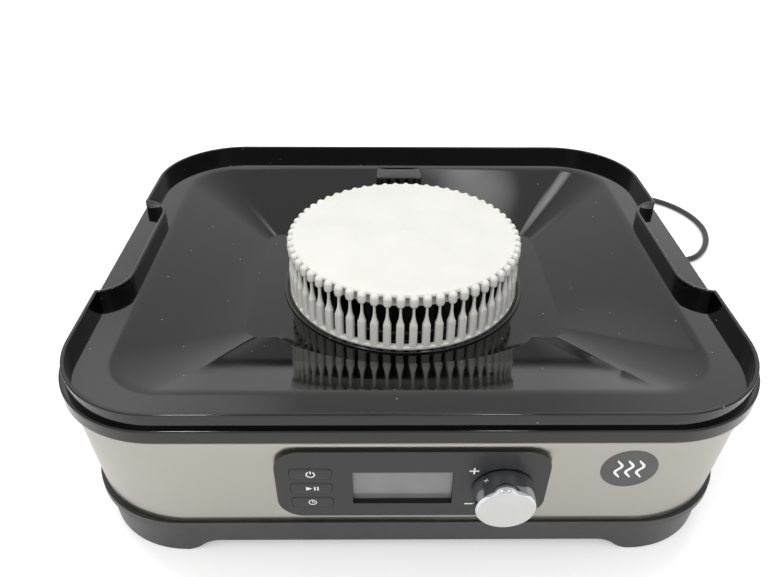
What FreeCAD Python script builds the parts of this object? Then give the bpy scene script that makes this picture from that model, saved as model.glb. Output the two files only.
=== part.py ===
import FreeCAD, Part
import math
import os
import re
import Sketcher
from FreeCAD import Rotation, Vector

# Base unit of a stacking food dehydrator: fan, heater and controls in one casing.
# The frame: X to the right, Y to the back, Z up, origin on the table under the middle of the rim.

doc = FreeCAD.newDocument("dehydrator_base_unit")
sizes = doc.addObject("Spreadsheet::Sheet", "sizes")

# Driving sizes in millimetres and degrees. Every name has an underscore.
SIZES = {
    # Casing, seen from above
    "body_width": 350,
    "body_depth": 304.6,
    "rim_corner": 56,
    "skirt_corner": 58,
    "band_corner": 63,
    "lip_corner": 54,
    "ledge_width": 2.4,
    "band_setback": 0.8,
    "lip_step": 0.9,
    "base_setback": 2.2,
    # Casing, heights and leans
    "base_height": 22,
    "belly_height": 8.4,
    "foot_recess": 0.4,
    "lip_height": 4,
    "band_height": 62.4,
    "band_lean": 5.5,
    "base_lean": 3.5,
    "skirt_height": 7.6,
    "rim_height": 8,
    "tray_depth": 8,
    "funnel_depth": 24,
    # Walls and clearances
    "rim_wall": 2,
    "deck_wall": 2.5,
    "band_catch": 0.9,
    "band_gauge": 0.8,
    "base_wall": 2.6,
    "base_floor": 2.5,
    "upstand_height": 8,
    "fit_gap": 0.3,
    "slide_gap": 0.15,
    "shaft_gap": 0.04,
    "screw_gap": 0.15,
    # Funnel deck
    "border_side": 22.8,
    "border_front": 24.6,
    "border_back": 23.6,
    "border_corner": 30,
    "well_width": 188,
    "well_depth": 120,
    "well_corner": 9,
    "recess_radius": 97,
    "grip_depth": 15.6,
    "grip_front": 52,
    "grip_back": 57,
    "grip_corner": 15,
    "block_width": 34,
    "block_depth": 19.5,
    "block_sink": 8,
    # Feet
    "foot_inset_side": 56,
    "foot_inset_front": 58,
    "foot_sweep": 20,
    "pad_radius": 9,
    "pad_height": 3,
    # Fan cover
    "fan_offset": 6.5,
    "cover_radius": 72.4,
    "cover_height": 36.3,
    "cover_ring": 2,
    "rib_count": 60,
    "rib_depth": 4,
    "rib_width": 4.6,
    "rib_neck": 2,
    "rib_shoulder": 14.4,
    "rib_taper": 8,
    "rib_ball": 5,
    "rib_head": 5,
    "cover_top": 2.4,
    "cover_edge": 1.2,
    "fan_opening": 64,
    "bead_width": 3.4,
    "bead_height": 1.2,
    # Air duct and heater
    "duct_radius": 68,
    "duct_wall": 2,
    "duct_length": 31.5,
    "duct_flange": 6,
    "flange_thick": 2.5,
    "ear_radius": 80,
    "ear_size": 5,
    "ear_drop": 6,
    "ear_thick": 3,
    "heater_radius": 52,
    "heater_tube": 3,
    "heater_drop": 0.6,
    "clip_width": 6,
    "clip_thick": 2,
    # Motor
    "bracket_thick": 2,
    "bracket_ring": 9,
    "bracket_arm": 14,
    "spacer_height": 6,
    "core_width": 64,
    "core_back": 28,
    "core_front": 48,
    "core_stack": 16,
    "core_leg": 10,
    "core_bore": 15.3,
    "window_width": 40,
    "window_depth": 16,
    "coil_width": 36,
    "coil_wall": 7,
    "coil_rise": 3.2,
    "strip_thick": 2,
    "strip_width": 16,
    "bush_radius": 6,
    "bush_length": 6,
    "bolt_spread": 24,
    "bolt_radius": 2,
    "rotor_gap": 1.5,
    "shaft_radius": 2.5,
    "cutout_radius": 7,
    "cutout_height": 7,
    "cutout_place": 43,
    "fuse_radius": 2,
    "fuse_length": 12,
    "fuse_place": 56,
    "sensor_radius": 2.5,
    "sensor_height": 12,
    "sensor_place": 62,
    # Impeller
    "impeller_radius": 60,
    "impeller_lift": 4,
    "impeller_height": 22,
    "impeller_plate": 2,
    "impeller_ring": 10,
    "blade_count": 30,
    "blade_length": 15,
    "blade_thick": 1.5,
    "blade_sweep": 9,
    "blade_belly": 2.7,
    "hub_radius": 9,
    "nut_width": 9,
    "nut_height": 4,
    # Control panel
    "panel_width": 131,
    "panel_height": 50.2,
    "panel_corner": 13,
    "panel_centre": 33,
    "panel_thick": 2,
    "panel_frame": 3.1,
    "frame_corner": 5,
    "frame_wall": 2,
    "frame_back": 4,
    "board_depth": 10.4,
    "board_thick": 1.6,
    "button_place": 48.4,
    "button_first": 9,
    "button_pitch": 11.15,
    "button_width": 20.6,
    "button_height": 8.2,
    "button_corner": 2.2,
    "button_proud": 0.3,
    "button_flange": 0.9,
    "flange_depth": 1.2,
    "button_travel": 0.8,
    "switch_size": 6,
    "switch_height": 3.5,
    "lcd_centre": 4.35,
    "lcd_drop": 2.5,
    "lcd_width": 48.5,
    "lcd_height": 24.65,
    "lcd_margin": 2.2,
    "lcd_recess": 3,
    "lens_thick": 1.5,
    "module_thick": 6,
    "dial_place": 44,
    "dial_drop": 3,
    "knob_radius": 15.1,
    "knob_face": 14.4,
    "knob_height": 12,
    "knob_chamfer": 1,
    "knob_gap": 0.4,
    "knob_grip": 8,
    "encoder_size": 12,
    "encoder_bush": 3.5,
    "dial_shaft": 3,
    # Boards in the base
    "mains_board_x": 92,
    "mains_board_y": 70,
    "mains_board_width": 60,
    "mains_board_depth": 110,
    "standoff_height": 8.5,
    "standoff_radius": 3.5,
    "standoff_inset": 5,
    "case_corner": 1,
    "relay_x": 14,
    "relay_y": 30,
    "relay_width": 16,
    "relay_depth": 20,
    "relay_height": 16,
    "transformer_x": 30,
    "transformer_y": 54,
    "transformer_width": 24,
    "transformer_depth": 28,
    "transformer_height": 22,
    "capacitor_x": 36,
    "capacitor_y": 28,
    "capacitor_width": 8,
    "capacitor_depth": 18,
    "capacitor_height": 14,
    "terminal_block_x": 8,
    "terminal_block_y": 90,
    "terminal_block_width": 36,
    "terminal_block_depth": 10,
    "terminal_block_height": 12,
    # Fasteners
    "post_x": 138,
    "post_y": 124,
    "post_radius": 5.5,
    "post_shelf": 8,
    "boss_length": 12,
    "screw_radius": 1.9,
    "screw_head": 3.5,
    "screw_head_height": 2.4,
    "screw_bite": 9,
    "small_screw": 1.4,
    "small_head": 2.6,
    "small_head_height": 1.8,
    "small_bite": 5,
    # Air inlet slots in the floor
    "slot_count": 24,
    "slot_inner": 26,
    "slot_length": 34,
    "slot_width": 4.4,
    # Mains cord
    "cord_diameter": 5,
    "cord_lift": 0.1,
    "cord_exit_x": 115,
    "cord_exit_z": 16,
    "bushing_radius": 5,
    "bushing_length": 26,
    "bushing_tip": 3.4,
    "bushing_flange": 5.8,
    "bushing_collar": 2.2,
    "coil_x": 60,
    "coil_y": 235,
    "coil_z": 4.3,
    "coil_outer": 33,
    "coil_pitch": 5.6,
    "tie_width": 6,
    "tie_thick": 1,
    "tail_length": 40,
    "plug_length": 35,
    "plug_width": 27,
    "plug_thick": 13.8,
    "plug_corner": 6,
    "plug_neck": 10,
    "pin_radius": 2,
    "pin_length": 19,
    "pin_spread": 19,
}
for row, (name, value) in enumerate(SIZES.items(), start=1):
    sizes.set(f"A{row}", name)
    sizes.set(f"B{row}", str(value))
    sizes.setAlias(f"B{row}", name)
doc.recompute()


def formula(text):
    """An expression over the sheet: every name with an underscore is one of its cells."""
    return re.sub(r"\b[a-z]+(?:_[a-z]+)+\b", lambda name: "sizes." + name.group(), text)


def num(text):
    """What an expression over the sheet comes to now."""
    return float(sizes.evalExpression(formula(text)))


# Levels, from the table up
LIP_TOP = "(base_height + lip_height)"
SKIRT_FOOT = f"({LIP_TOP} + band_height)"
LEDGE = f"({SKIRT_FOOT} + skirt_height)"
RIM_TOP = f"({LEDGE} + rim_height)"
BORDER = f"({RIM_TOP} - tray_depth)"
WELL = f"({BORDER} - funnel_depth)"
WELL_UNDER = f"({WELL} - deck_wall)"
BASE_INSIDE = "(belly_height + base_floor)"

# How far each wall stands out from the rim
BAND_TOP_OUT = "(ledge_width - band_setback)"
BAND_FOOT_OUT = f"({BAND_TOP_OUT} - band_height * tan(band_lean))"
LIP_OUT = f"({BAND_FOOT_OUT} + lip_step)"
BASE_OUT = f"({LIP_OUT} - base_setback)"
UPSTAND_OUT = f"({BAND_FOOT_OUT} - band_gauge - fit_gap)"


def new_body(label):
    """An empty body whose label names its file."""
    body = doc.addObject("PartDesign::Body", label)
    body.Label = label
    return body


def origin_part(body, role):
    """One of a body's own origin planes or axes."""
    return next(part for part in body.Origin.OriginFeatures if part.Role == role)


def new_sketch(body, height="0", plane="XY_Plane"):
    """A sketch on a body's origin plane, moved along that plane's normal."""
    flat = body.newObject("Sketcher::SketchObject", body.Name + "_sketch")
    flat.AttachmentSupport = [(origin_part(body, plane), "")]
    flat.MapMode = "FlatFace"
    flat.setExpression("AttachmentOffset.Base.z", formula(height))
    return flat


def bind(flat, kind, places, text):
    """A dimension of a sketch, tied to an expression."""
    index = flat.addConstraint(Sketcher.Constraint(kind, *places, abs(num(text))))
    flat.setExpression(f"Constraints[{index}]", formula(text))


def fix_point(flat, edge, end, x=None, y=None):
    """Holds a point of a sketch at distances from the sketch's origin."""
    for kind, axis, text in (("DistanceX", -2, x), ("DistanceY", -1, y)):
        if text is None:
            continue
        value = num(text)
        if abs(value) < 1e-9:
            flat.addConstraint(Sketcher.Constraint("PointOnObject", edge, end, axis))
        elif value > 0:
            bind(flat, kind, (-1, 1, edge, end), text)
        else:
            bind(flat, kind, (edge, end, -1, 1), f"-({text})")


def draw_circle(flat, x, y, radius):
    """A circle about a point."""
    centre = Vector(num(x), num(y), 0)
    edge = flat.addGeometry(Part.Circle(centre, Vector(0, 0, 1), num(radius)))
    fix_point(flat, edge, 3, x, y)
    bind(flat, "Radius", (edge,), radius)


def draw_polygon(flat, corners):
    """A closed outline of straight lines through the given corners."""
    points = [Vector(num(x), num(y), 0) for x, y in corners]
    first = flat.GeometryCount
    count = len(points)
    for index in range(count):
        flat.addGeometry(Part.LineSegment(points[index], points[(index + 1) % count]))
    for index, (x, y) in enumerate(corners):
        before = first + (index - 1) % count
        flat.addConstraint(Sketcher.Constraint("Coincident", before, 2, first + index, 1))
        fix_point(flat, first + index, 1, x, y)


def draw_outline(flat, left, right, front, back, radius, sharp=()):
    """A rectangle with rounded corners; the corners listed in sharp stay square.

    Corners are numbered 0 right back, 1 left back, 2 left front, 3 right front."""
    low_x, high_x, low_y, high_y = num(left), num(right), num(front), num(back)
    bend = num(radius)
    corners = [(high_x, high_y), (low_x, high_y), (low_x, low_y), (high_x, low_y)]
    inward = [(-1, -1), (1, -1), (1, 1), (-1, 1)]
    cut = [0 if index in sharp else bend for index in range(4)]
    lines = []
    for index in range(4):
        start = corners[index - 1]
        end = corners[index]
        along = Vector(end[0] - start[0], end[1] - start[1], 0).normalize()
        first = Vector(*start, 0) + along * cut[index - 1]
        last = Vector(*end, 0) - along * cut[index]
        lines.append(flat.addGeometry(Part.LineSegment(first, last)))
        kind = "Vertical" if index % 2 == 0 else "Horizontal"
        flat.addConstraint(Sketcher.Constraint(kind, lines[index]))
    first_arc = None
    for index in range(4):
        after = lines[(index + 1) % 4]
        if index in sharp:
            flat.addConstraint(Sketcher.Constraint("Coincident", lines[index], 2, after, 1))
            continue
        x, y = corners[index]
        centre = Vector(x + inward[index][0] * bend, y + inward[index][1] * bend, 0)
        circle = Part.Circle(centre, Vector(0, 0, 1), bend)
        quarter = math.pi / 2
        arc = flat.addGeometry(Part.ArcOfCircle(circle, index * quarter, (index + 1) * quarter))
        flat.addConstraint(Sketcher.Constraint("Tangent", lines[index], 2, arc, 1))
        flat.addConstraint(Sketcher.Constraint("Tangent", arc, 2, after, 1))
        if first_arc is None:
            first_arc = arc
            bind(flat, "Radius", (arc,), radius)
        else:
            flat.addConstraint(Sketcher.Constraint("Equal", first_arc, arc))
    fix_point(flat, lines[0], 1, x=right)
    fix_point(flat, lines[2], 1, x=left)
    fix_point(flat, lines[1], 1, y=back)
    fix_point(flat, lines[3], 1, y=front)


def draw_casing(flat, out, radius):
    """The casing's outline, standing out from the rim by a distance."""
    x = f"(body_width / 2 + {out})"
    y = f"(body_depth / 2 + {out})"
    draw_outline(flat, f"-{x}", x, f"-{y}", y, radius)


def draw_centred(flat, x, y, width, height, radius):
    """A rounded rectangle about a point."""
    draw_outline(flat, f"{x} - ({width}) / 2", f"{x} + ({width}) / 2",
                 f"{y} - ({height}) / 2", f"{y} + ({height}) / 2", radius)


def pad(body, flat, length, lean=None, down=False):
    """Material added from a sketch; a positive lean widens it on the way."""
    feature = body.newObject("PartDesign::Pad", body.Name + "_pad")
    feature.Profile = flat
    feature.setExpression("Length", formula(length))
    feature.Reversed = down
    if lean:
        feature.setExpression("TaperAngle", formula(lean))
    return feature


def pocket(body, flat, depth, lean=None, up=False):
    """Material cut below a sketch, or above it; a negative lean narrows it on the way."""
    feature = body.newObject("PartDesign::Pocket", body.Name + "_pocket")
    feature.Profile = flat
    feature.setExpression("Length", formula(depth))
    feature.Reversed = up
    if lean:
        feature.setExpression("TaperAngle", formula(lean))
    return feature


def loft(body, kind, first, last):
    """A ruled loft between two sketches of a body, added or subtracted."""
    feature = body.newObject("PartDesign::" + kind, body.Name + "_loft")
    feature.Profile = first
    feature.Sections = [last]
    feature.Ruled = True
    return feature


def revolve(body, corners):
    """A body of revolution about its own Z axis, from (radius, height) corners."""
    flat = new_sketch(body, plane="XZ_Plane")
    draw_polygon(flat, corners)
    feature = body.newObject("PartDesign::Revolution", body.Name + "_turned")
    feature.Profile = flat
    feature.ReferenceAxis = (origin_part(body, "Z_Axis"), [""])
    return feature


def polar(body, originals, count):
    """Repeats features of a body evenly about its own Z axis."""
    feature = body.newObject("PartDesign::PolarPattern", body.Name + "_ring")
    feature.Originals = originals
    feature.Axis = (origin_part(body, "Z_Axis"), [""])
    feature.Angle = 360
    feature.setExpression("Occurrences", formula(count))
    body.Tip = feature
    return feature


def stand(body, x="0", y="0", z="0"):
    """Sets a body down at a place of the frame."""
    for axis, text in zip("xyz", (x, y, z)):
        body.setExpression(f"Placement.Base.{axis}", formula(text))


def stand_on_axis(body, z="0"):
    """Sets a body down on the fan's axis, at a height."""
    stand(body, y="fan_offset", z=z)


def stand_on_panel(body):
    """Sets a body on the leaning front face: its Z is the way out, its Y the way up."""
    height = f"({LIP_TOP} + panel_centre)"
    depth = f"-(body_depth / 2 + {BAND_FOOT_OUT} + panel_centre * tan(band_lean))"
    body.Placement = FreeCAD.Placement(Vector(), Rotation(Vector(1, 0, 0), 90))
    stand(body, y=depth, z=height)
    body.setExpression("Placement.Rotation.Angle", formula("90 + band_lean"))


def solid_group(label, master, places):
    """One node of equal solids: copies of a turned piece at several places."""
    doc.recompute()
    group = doc.addObject("Part::Feature", label)
    group.Label = label
    copies = []
    for place in places:
        copy = master.Shape.copy()
        copy.Placement = place.multiply(copy.Placement)
        copies.append(copy)
    group.Shape = Part.makeCompound(copies)
    return group


def upright(x, y, z):
    """A place with no turn."""
    return FreeCAD.Placement(Vector(x, y, z), Rotation())


def square_places(x, y, z, y_centre=0):
    """Four places at the corners of a rectangle."""
    return [upright(side * x, y_centre + end * y, z) for side in (-1, 1) for end in (-1, 1)]


def screw_master(label, shank, head, head_height, length):
    """A pan-head screw, head down, with its shank rising from height 0."""
    body = new_body(label)
    rim = f"{head_height} * 0.4"
    revolve(body, [("0", f"-({head_height})"), (f"{head} * 0.75", f"-({head_height})"),
                   (head, f"-({rim})"), (head, "0"), (shank, "0"),
                   (shank, f"{length} - {shank}"), ("0", length)])
    return body


# Top deck: rim, skirt and funnel in one moulding

def draw_border(flat, grow):
    """The inner edge of the flat border, grown outwards."""
    draw_outline(flat, f"-(body_width / 2 - border_side + {grow})",
                 f"body_width / 2 - border_side + {grow}",
                 f"-(body_depth / 2 - border_front + {grow})",
                 f"body_depth / 2 - border_back + {grow}", f"border_corner + {grow}")


def draw_well(flat, grow):
    """The flat bottom of the funnel, grown outwards."""
    draw_centred(flat, "0", "fan_offset", f"well_width + 2 * {grow}", f"well_depth + 2 * {grow}",
                 f"well_corner + {grow}")


def draw_grips(flat, grow, reach, sharp_outside):
    """The two hand grips in the sides of the rim, grown outwards."""
    inner = f"(body_width / 2 - grip_depth - {grow})"
    outer = f"(body_width / 2 + {reach})"
    front = f"-(grip_front + {grow})"
    back = f"grip_back + {grow}"
    bend = f"grip_corner + {grow}"
    draw_outline(flat, inner, outer, front, back, bend, (0, 3) if sharp_outside else ())
    draw_outline(flat, f"-{outer}", f"-{inner}", front, back, bend, (1, 2) if sharp_outside else ())


top_deck = new_body("top_deck")
flat = new_sketch(top_deck, SKIRT_FOOT)
draw_casing(flat, "ledge_width", "skirt_corner")
pad(top_deck, flat, "skirt_height")
flat = new_sketch(top_deck, SKIRT_FOOT)
draw_casing(flat, "0", "rim_corner")
pad(top_deck, flat, f"{RIM_TOP} - {SKIRT_FOOT}")
CATCH_FOOT = f"({SKIRT_FOOT} - band_catch)"
flat = new_sketch(top_deck, CATCH_FOOT)
draw_casing(flat, f"{BAND_TOP_OUT} - band_gauge - 2 * fit_gap", "band_corner - band_gauge")
pad(top_deck, flat, "band_catch")
flat = new_sketch(top_deck, CATCH_FOOT)
draw_casing(flat, "-rim_wall", "band_corner - rim_wall")
pocket(top_deck, flat, f"{BORDER} - deck_wall - {CATCH_FOOT}", up=True)
upper = new_sketch(top_deck, f"{BORDER} - deck_wall")
draw_border(upper, "0")
lower = new_sketch(top_deck, WELL_UNDER)
draw_well(lower, "deck_wall")
loft(top_deck, "AdditiveLoft", upper, lower)
flat = new_sketch(top_deck, WELL_UNDER)
draw_circle(flat, "0", "fan_offset", "recess_radius + deck_wall")
pad(top_deck, flat, "funnel_depth")
BOSS_FOOT = f"({BORDER} - deck_wall - boss_length)"
flat = new_sketch(top_deck, BOSS_FOOT)
for side in ("-", ""):
    for end in ("-", ""):
        draw_circle(flat, f"{side}post_x", f"{end}post_y", "post_radius")
pad(top_deck, flat, f"{BORDER} - {BOSS_FOOT}")
flat = new_sketch(top_deck, f"{WELL_UNDER} - ear_drop")
EAR_PLACES = [(f"{side}ear_radius * cos(45)", f"fan_offset {end} ear_radius * sin(45)")
              for side in ("-", "") for end in ("-", "+")]
for x, y in EAR_PLACES:
    draw_circle(flat, x, y, "ear_size")
pad(top_deck, flat, "ear_drop + deck_wall")
flat = new_sketch(top_deck, RIM_TOP)
draw_casing(flat, "-rim_wall", "rim_corner - rim_wall")
pocket(top_deck, flat, "tray_depth")
flat = new_sketch(top_deck, BORDER)
draw_grips(flat, "rim_wall", "0", True)
pad(top_deck, flat, "tray_depth")
flat = new_sketch(top_deck, RIM_TOP)
draw_grips(flat, "0", "grip_corner * 2", False)
pocket(top_deck, flat, "rim_height")
upper = new_sketch(top_deck, BORDER)
draw_border(upper, "0")
lower = new_sketch(top_deck, WELL)
draw_well(lower, "0")
loft(top_deck, "SubtractiveLoft", upper, lower)
flat = new_sketch(top_deck, BORDER)
draw_circle(flat, "0", "fan_offset", "recess_radius")
pocket(top_deck, flat, "funnel_depth")
flat = new_sketch(top_deck, WELL)
draw_circle(flat, "0", "fan_offset", "fan_opening")
pocket(top_deck, flat, "deck_wall + ear_drop")
flat = new_sketch(top_deck, WELL)
draw_circle(flat, "0", "fan_offset", "cover_radius + fit_gap")
draw_circle(flat, "0", "fan_offset", "cover_radius + fit_gap + bead_width")
pad(top_deck, flat, "bead_height")
BLOCK_BACK = "(body_depth / 2 - border_back + rim_wall)"
flat = new_sketch(top_deck, f"{BORDER} - block_sink")
draw_outline(flat, "-block_width / 2", "block_width / 2", f"{BLOCK_BACK} - block_depth", BLOCK_BACK,
             "fit_gap")
pad(top_deck, flat, "block_sink")
flat = new_sketch(top_deck, BOSS_FOOT)
for side in ("-", ""):
    for end in ("-", ""):
        draw_circle(flat, f"{side}post_x", f"{end}post_y", "screw_radius + screw_gap")
pocket(top_deck, flat, "screw_bite + screw_gap", up=True)
flat = new_sketch(top_deck, f"{WELL_UNDER} - ear_drop")
for x, y in EAR_PLACES:
    draw_circle(flat, x, y, "small_screw + screw_gap")
pocket(top_deck, flat, "small_bite + screw_gap", up=True)


# Steel band: one leaning sheet round the casing, with a window for the panel

steel_band = new_body("steel_band")
flat = new_sketch(steel_band, LIP_TOP)
draw_casing(flat, BAND_FOOT_OUT, "band_corner - band_height * tan(band_lean)")
pad(steel_band, flat, "band_height", lean="band_lean")
flat = new_sketch(steel_band, SKIRT_FOOT)
draw_casing(flat, f"{BAND_TOP_OUT} - band_gauge", "band_corner - band_gauge")
pocket(steel_band, flat, "band_height", lean="-band_lean")
FRAME_WIDTH = "(panel_width - 2 * panel_frame)"
FRAME_HEIGHT = "(panel_height - 2 * panel_frame)"
flat = new_sketch(steel_band, "body_depth / 2 - border_front", plane="XZ_Plane")
draw_centred(flat, "0", f"({LIP_TOP} + panel_centre)", f"{FRAME_WIDTH} + 2 * fit_gap",
             f"{FRAME_HEIGHT} + 4 * fit_gap", "frame_corner")
pocket(steel_band, flat, "border_front * 2", up=True)


# Base pan: tapered tray with a lip, four swept corner feet and an air inlet

def draw_belly(flat, half_span):
    """A bridge-shaped cut: flat above, and at each end a sweep of two equal arcs.

    The sweep runs out below the foot, so that the foot ends in a clean edge."""
    top = num("belly_height")
    foot = num("foot_recess / 2")
    span = num(half_span)
    sweep = num("foot_sweep")
    below = -num("belly_height")
    drop = top - foot
    bend = (sweep ** 2 + drop ** 2) / (4 * drop)
    middle = Vector(span - sweep / 2, (top + foot) / 2, 0)
    turn = 2 * math.atan2(drop, sweep)
    up = Vector(0, 0, 1)
    right_in = Part.Circle(Vector(span - sweep, top - bend, 0), up, bend)
    right_out = Part.Circle(Vector(span, foot + bend, 0), up, bend)
    left_in = Part.Circle(Vector(sweep - span, top - bend, 0), up, bend)
    left_out = Part.Circle(Vector(-span, foot + bend, 0), up, bend)
    quarter = math.pi / 2
    roof = flat.addGeometry(Part.LineSegment(Vector(sweep - span, top, 0), Vector(span - sweep, top, 0)))
    a = flat.addGeometry(Part.ArcOfCircle(right_in, quarter - turn, quarter))
    b = flat.addGeometry(Part.ArcOfCircle(right_out, 3 * quarter - turn, 3 * quarter))
    c = flat.addGeometry(Part.LineSegment(Vector(span, foot, 0), Vector(span, below, 0)))
    d = flat.addGeometry(Part.LineSegment(Vector(span, below, 0), Vector(-span, below, 0)))
    e = flat.addGeometry(Part.LineSegment(Vector(-span, below, 0), Vector(-span, foot, 0)))
    f = flat.addGeometry(Part.ArcOfCircle(left_out, 3 * quarter, 3 * quarter + turn))
    g = flat.addGeometry(Part.ArcOfCircle(left_in, quarter, quarter + turn))
    for first, second in (((roof, 2), (a, 2)), ((a, 1), (b, 1)), ((f, 2), (g, 2)), ((g, 1), (roof, 1))):
        flat.addConstraint(Sketcher.Constraint("Tangent", *first, *second))
    for first, second in (((b, 2), (c, 1)), ((c, 2), (d, 1)), ((d, 2), (e, 1)), ((e, 2), (f, 1))):
        flat.addConstraint(Sketcher.Constraint("Coincident", *first, *second))
    for arc in (b, f, g):
        flat.addConstraint(Sketcher.Constraint("Equal", a, arc))
    flat.addConstraint(Sketcher.Constraint("Horizontal", roof))
    fix_point(flat, roof, 2, f"{half_span} - foot_sweep", "belly_height")
    fix_point(flat, roof, 1, x=f"foot_sweep - ({half_span})")
    fix_point(flat, c, 1, half_span, "foot_recess / 2")
    fix_point(flat, c, 2, half_span, "-belly_height")
    fix_point(flat, e, 2, f"-({half_span})", "foot_recess / 2")
    fix_point(flat, e, 1, f"-({half_span})", "-belly_height")


UPSTAND_CORNER = "(band_corner - band_height * tan(band_lean) - band_gauge - fit_gap)"
base_pan = new_body("base_pan")
flat = new_sketch(base_pan, "foot_recess")
shrink = "(base_height - foot_recess) * tan(base_lean)"
draw_casing(flat, f"{BASE_OUT} - {shrink}", f"lip_corner - base_setback - {shrink}")
pad(base_pan, flat, "base_height - foot_recess", lean="base_lean")
flat = new_sketch(base_pan, "base_height")
draw_casing(flat, LIP_OUT, "lip_corner")
pad(base_pan, flat, "lip_height")
flat = new_sketch(base_pan, LIP_TOP)
draw_casing(flat, UPSTAND_OUT, UPSTAND_CORNER)
pad(base_pan, flat, "upstand_height")
flat = new_sketch(base_pan, f"{LIP_TOP} + upstand_height")
draw_casing(flat, f"{UPSTAND_OUT} - base_wall", f"{UPSTAND_CORNER} - base_wall")
pocket(base_pan, flat, f"{LIP_TOP} + upstand_height - {BASE_INSIDE}")
flat = new_sketch(base_pan, "-body_depth", plane="XZ_Plane")
draw_belly(flat, "(body_width / 2 - foot_inset_side)")
pocket(base_pan, flat, "body_depth * 2", up=True)
flat = new_sketch(base_pan, "body_width", plane="YZ_Plane")
draw_belly(flat, "(body_depth / 2 - foot_inset_front)")
pocket(base_pan, flat, "body_width * 2")
flat = new_sketch(base_pan, BASE_INSIDE)
for side in ("-", ""):
    for end in ("-", ""):
        draw_circle(flat, f"{side}post_x", f"{end}post_y", "post_radius")
pad(base_pan, flat, f"{BOSS_FOOT} - {BASE_INSIDE}")
BOARD_POSTS = [(f"mains_board_x + {x}", f"{y} - mains_board_y")
               for x in ("standoff_inset", "mains_board_width - standoff_inset")
               for y in ("standoff_inset", "mains_board_depth - standoff_inset")]
flat = new_sketch(base_pan, BASE_INSIDE)
for x, y in BOARD_POSTS:
    draw_circle(flat, x, y, "standoff_radius")
pad(base_pan, flat, "standoff_height")
flat = new_sketch(base_pan, f"{BASE_INSIDE} + standoff_height")
for x, y in BOARD_POSTS:
    draw_circle(flat, x, y, "small_screw + screw_gap")
pocket(base_pan, flat, "small_bite + screw_gap")
POST_SHELF = f"({BOSS_FOOT} - post_shelf)"
flat = new_sketch(base_pan, BOSS_FOOT)
for side in ("-", ""):
    for end in ("-", ""):
        draw_circle(flat, f"{side}post_x", f"{end}post_y", "screw_radius + screw_gap")
pocket(base_pan, flat, "post_shelf")
flat = new_sketch(base_pan, POST_SHELF)
for side in ("-", ""):
    for end in ("-", ""):
        draw_circle(flat, f"{side}post_x", f"{end}post_y", "screw_head + fit_gap")
pocket(base_pan, flat, POST_SHELF)
flat = new_sketch(base_pan, "pad_height")
for side in ("-", ""):
    for end in ("-", ""):
        draw_circle(flat, f"{side}post_x", f"{end}post_y", "pad_radius + slide_gap")
pocket(base_pan, flat, "pad_height")
flat = new_sketch(base_pan, BASE_INSIDE)
slots = math.floor(num("slot_count"))
for index in range(slots):
    angle = f"{index} * 360 / slot_count"
    near, far, half = "slot_inner", "(slot_inner + slot_length)", "slot_width / 2"
    corners = []
    for along, across in ((near, f"-{half}"), (far, f"-{half}"), (far, half), (near, half)):
        corners.append((f"{along} * cos({angle}) - ({across}) * sin({angle})",
                        f"fan_offset + {along} * sin({angle}) + ({across}) * cos({angle})"))
    draw_polygon(flat, corners)
pocket(base_pan, flat, "base_floor")
flat = new_sketch(base_pan, "-body_depth", plane="XZ_Plane")
draw_circle(flat, "cord_exit_x", "cord_exit_z", "bushing_radius + slide_gap")
pocket(base_pan, flat, "body_depth", up=True)

foot_pad = new_body("foot_pad")
revolve(foot_pad, [("0", "0"), ("pad_radius - pad_height / 4", "0"), ("pad_radius", "pad_height / 4"),
                   ("pad_radius", "pad_height"), ("0", "pad_height")])
POSTS = square_places(num("post_x"), num("post_y"), 0)
foot_pads = solid_group("foot_pads", foot_pad, POSTS)


# Fan cover: a ring of ball-topped ribs that carry a disc

fan_cover = new_body("fan_cover")
revolve(fan_cover, [("cover_radius - rib_depth", "0"), ("cover_radius", "0"),
                    ("cover_radius", "cover_ring"), ("cover_radius - rib_depth", "cover_ring")])
COVER_DISC = "cover_radius - cover_edge"
flat = new_sketch(fan_cover, "cover_height - cover_top")
draw_circle(flat, "0", "0", COVER_DISC)
pad(fan_cover, flat, "cover_top")
BALL_Z = "(cover_height - rib_head)"
HEAD_TOP = "(cover_height - cover_top / 8)"
half_rib = [("rib_width / 2", "0"), ("rib_width / 2", "cover_ring + rib_shoulder"),
            ("rib_neck / 2", "cover_ring + rib_shoulder + rib_taper"), ("rib_neck / 2", BALL_Z)]
other_half = [(f"-{x}", z) for x, z in reversed(half_rib)]
flat = new_sketch(fan_cover, "cover_radius - rib_depth", plane="XZ_Plane")
draw_polygon(flat, half_rib + other_half)
bar = pad(fan_cover, flat, "rib_depth")
flat = new_sketch(fan_cover, "cover_radius - rib_depth", plane="XZ_Plane")
draw_circle(flat, "0", BALL_Z, "rib_ball / 2")
ball = pad(fan_cover, flat, "rib_depth")
flat = new_sketch(fan_cover, "cover_radius - rib_depth", plane="XZ_Plane")
draw_polygon(flat, [("-rib_ball / 2", BALL_Z), ("rib_ball / 2", BALL_Z), ("rib_ball / 2", HEAD_TOP),
                    ("-rib_ball / 2", HEAD_TOP)])
head = pad(fan_cover, flat, "rib_depth")
polar(fan_cover, [bar, ball, head], "rib_count")
fan_cover.Placement = FreeCAD.Placement(Vector(), Rotation(Vector(0, 0, 1), 1))
fan_cover.setExpression("Placement.Rotation.Angle", formula("180 / rib_count"))
stand_on_axis(fan_cover, WELL)


# Air duct under the deck, with ears for its screws

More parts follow.
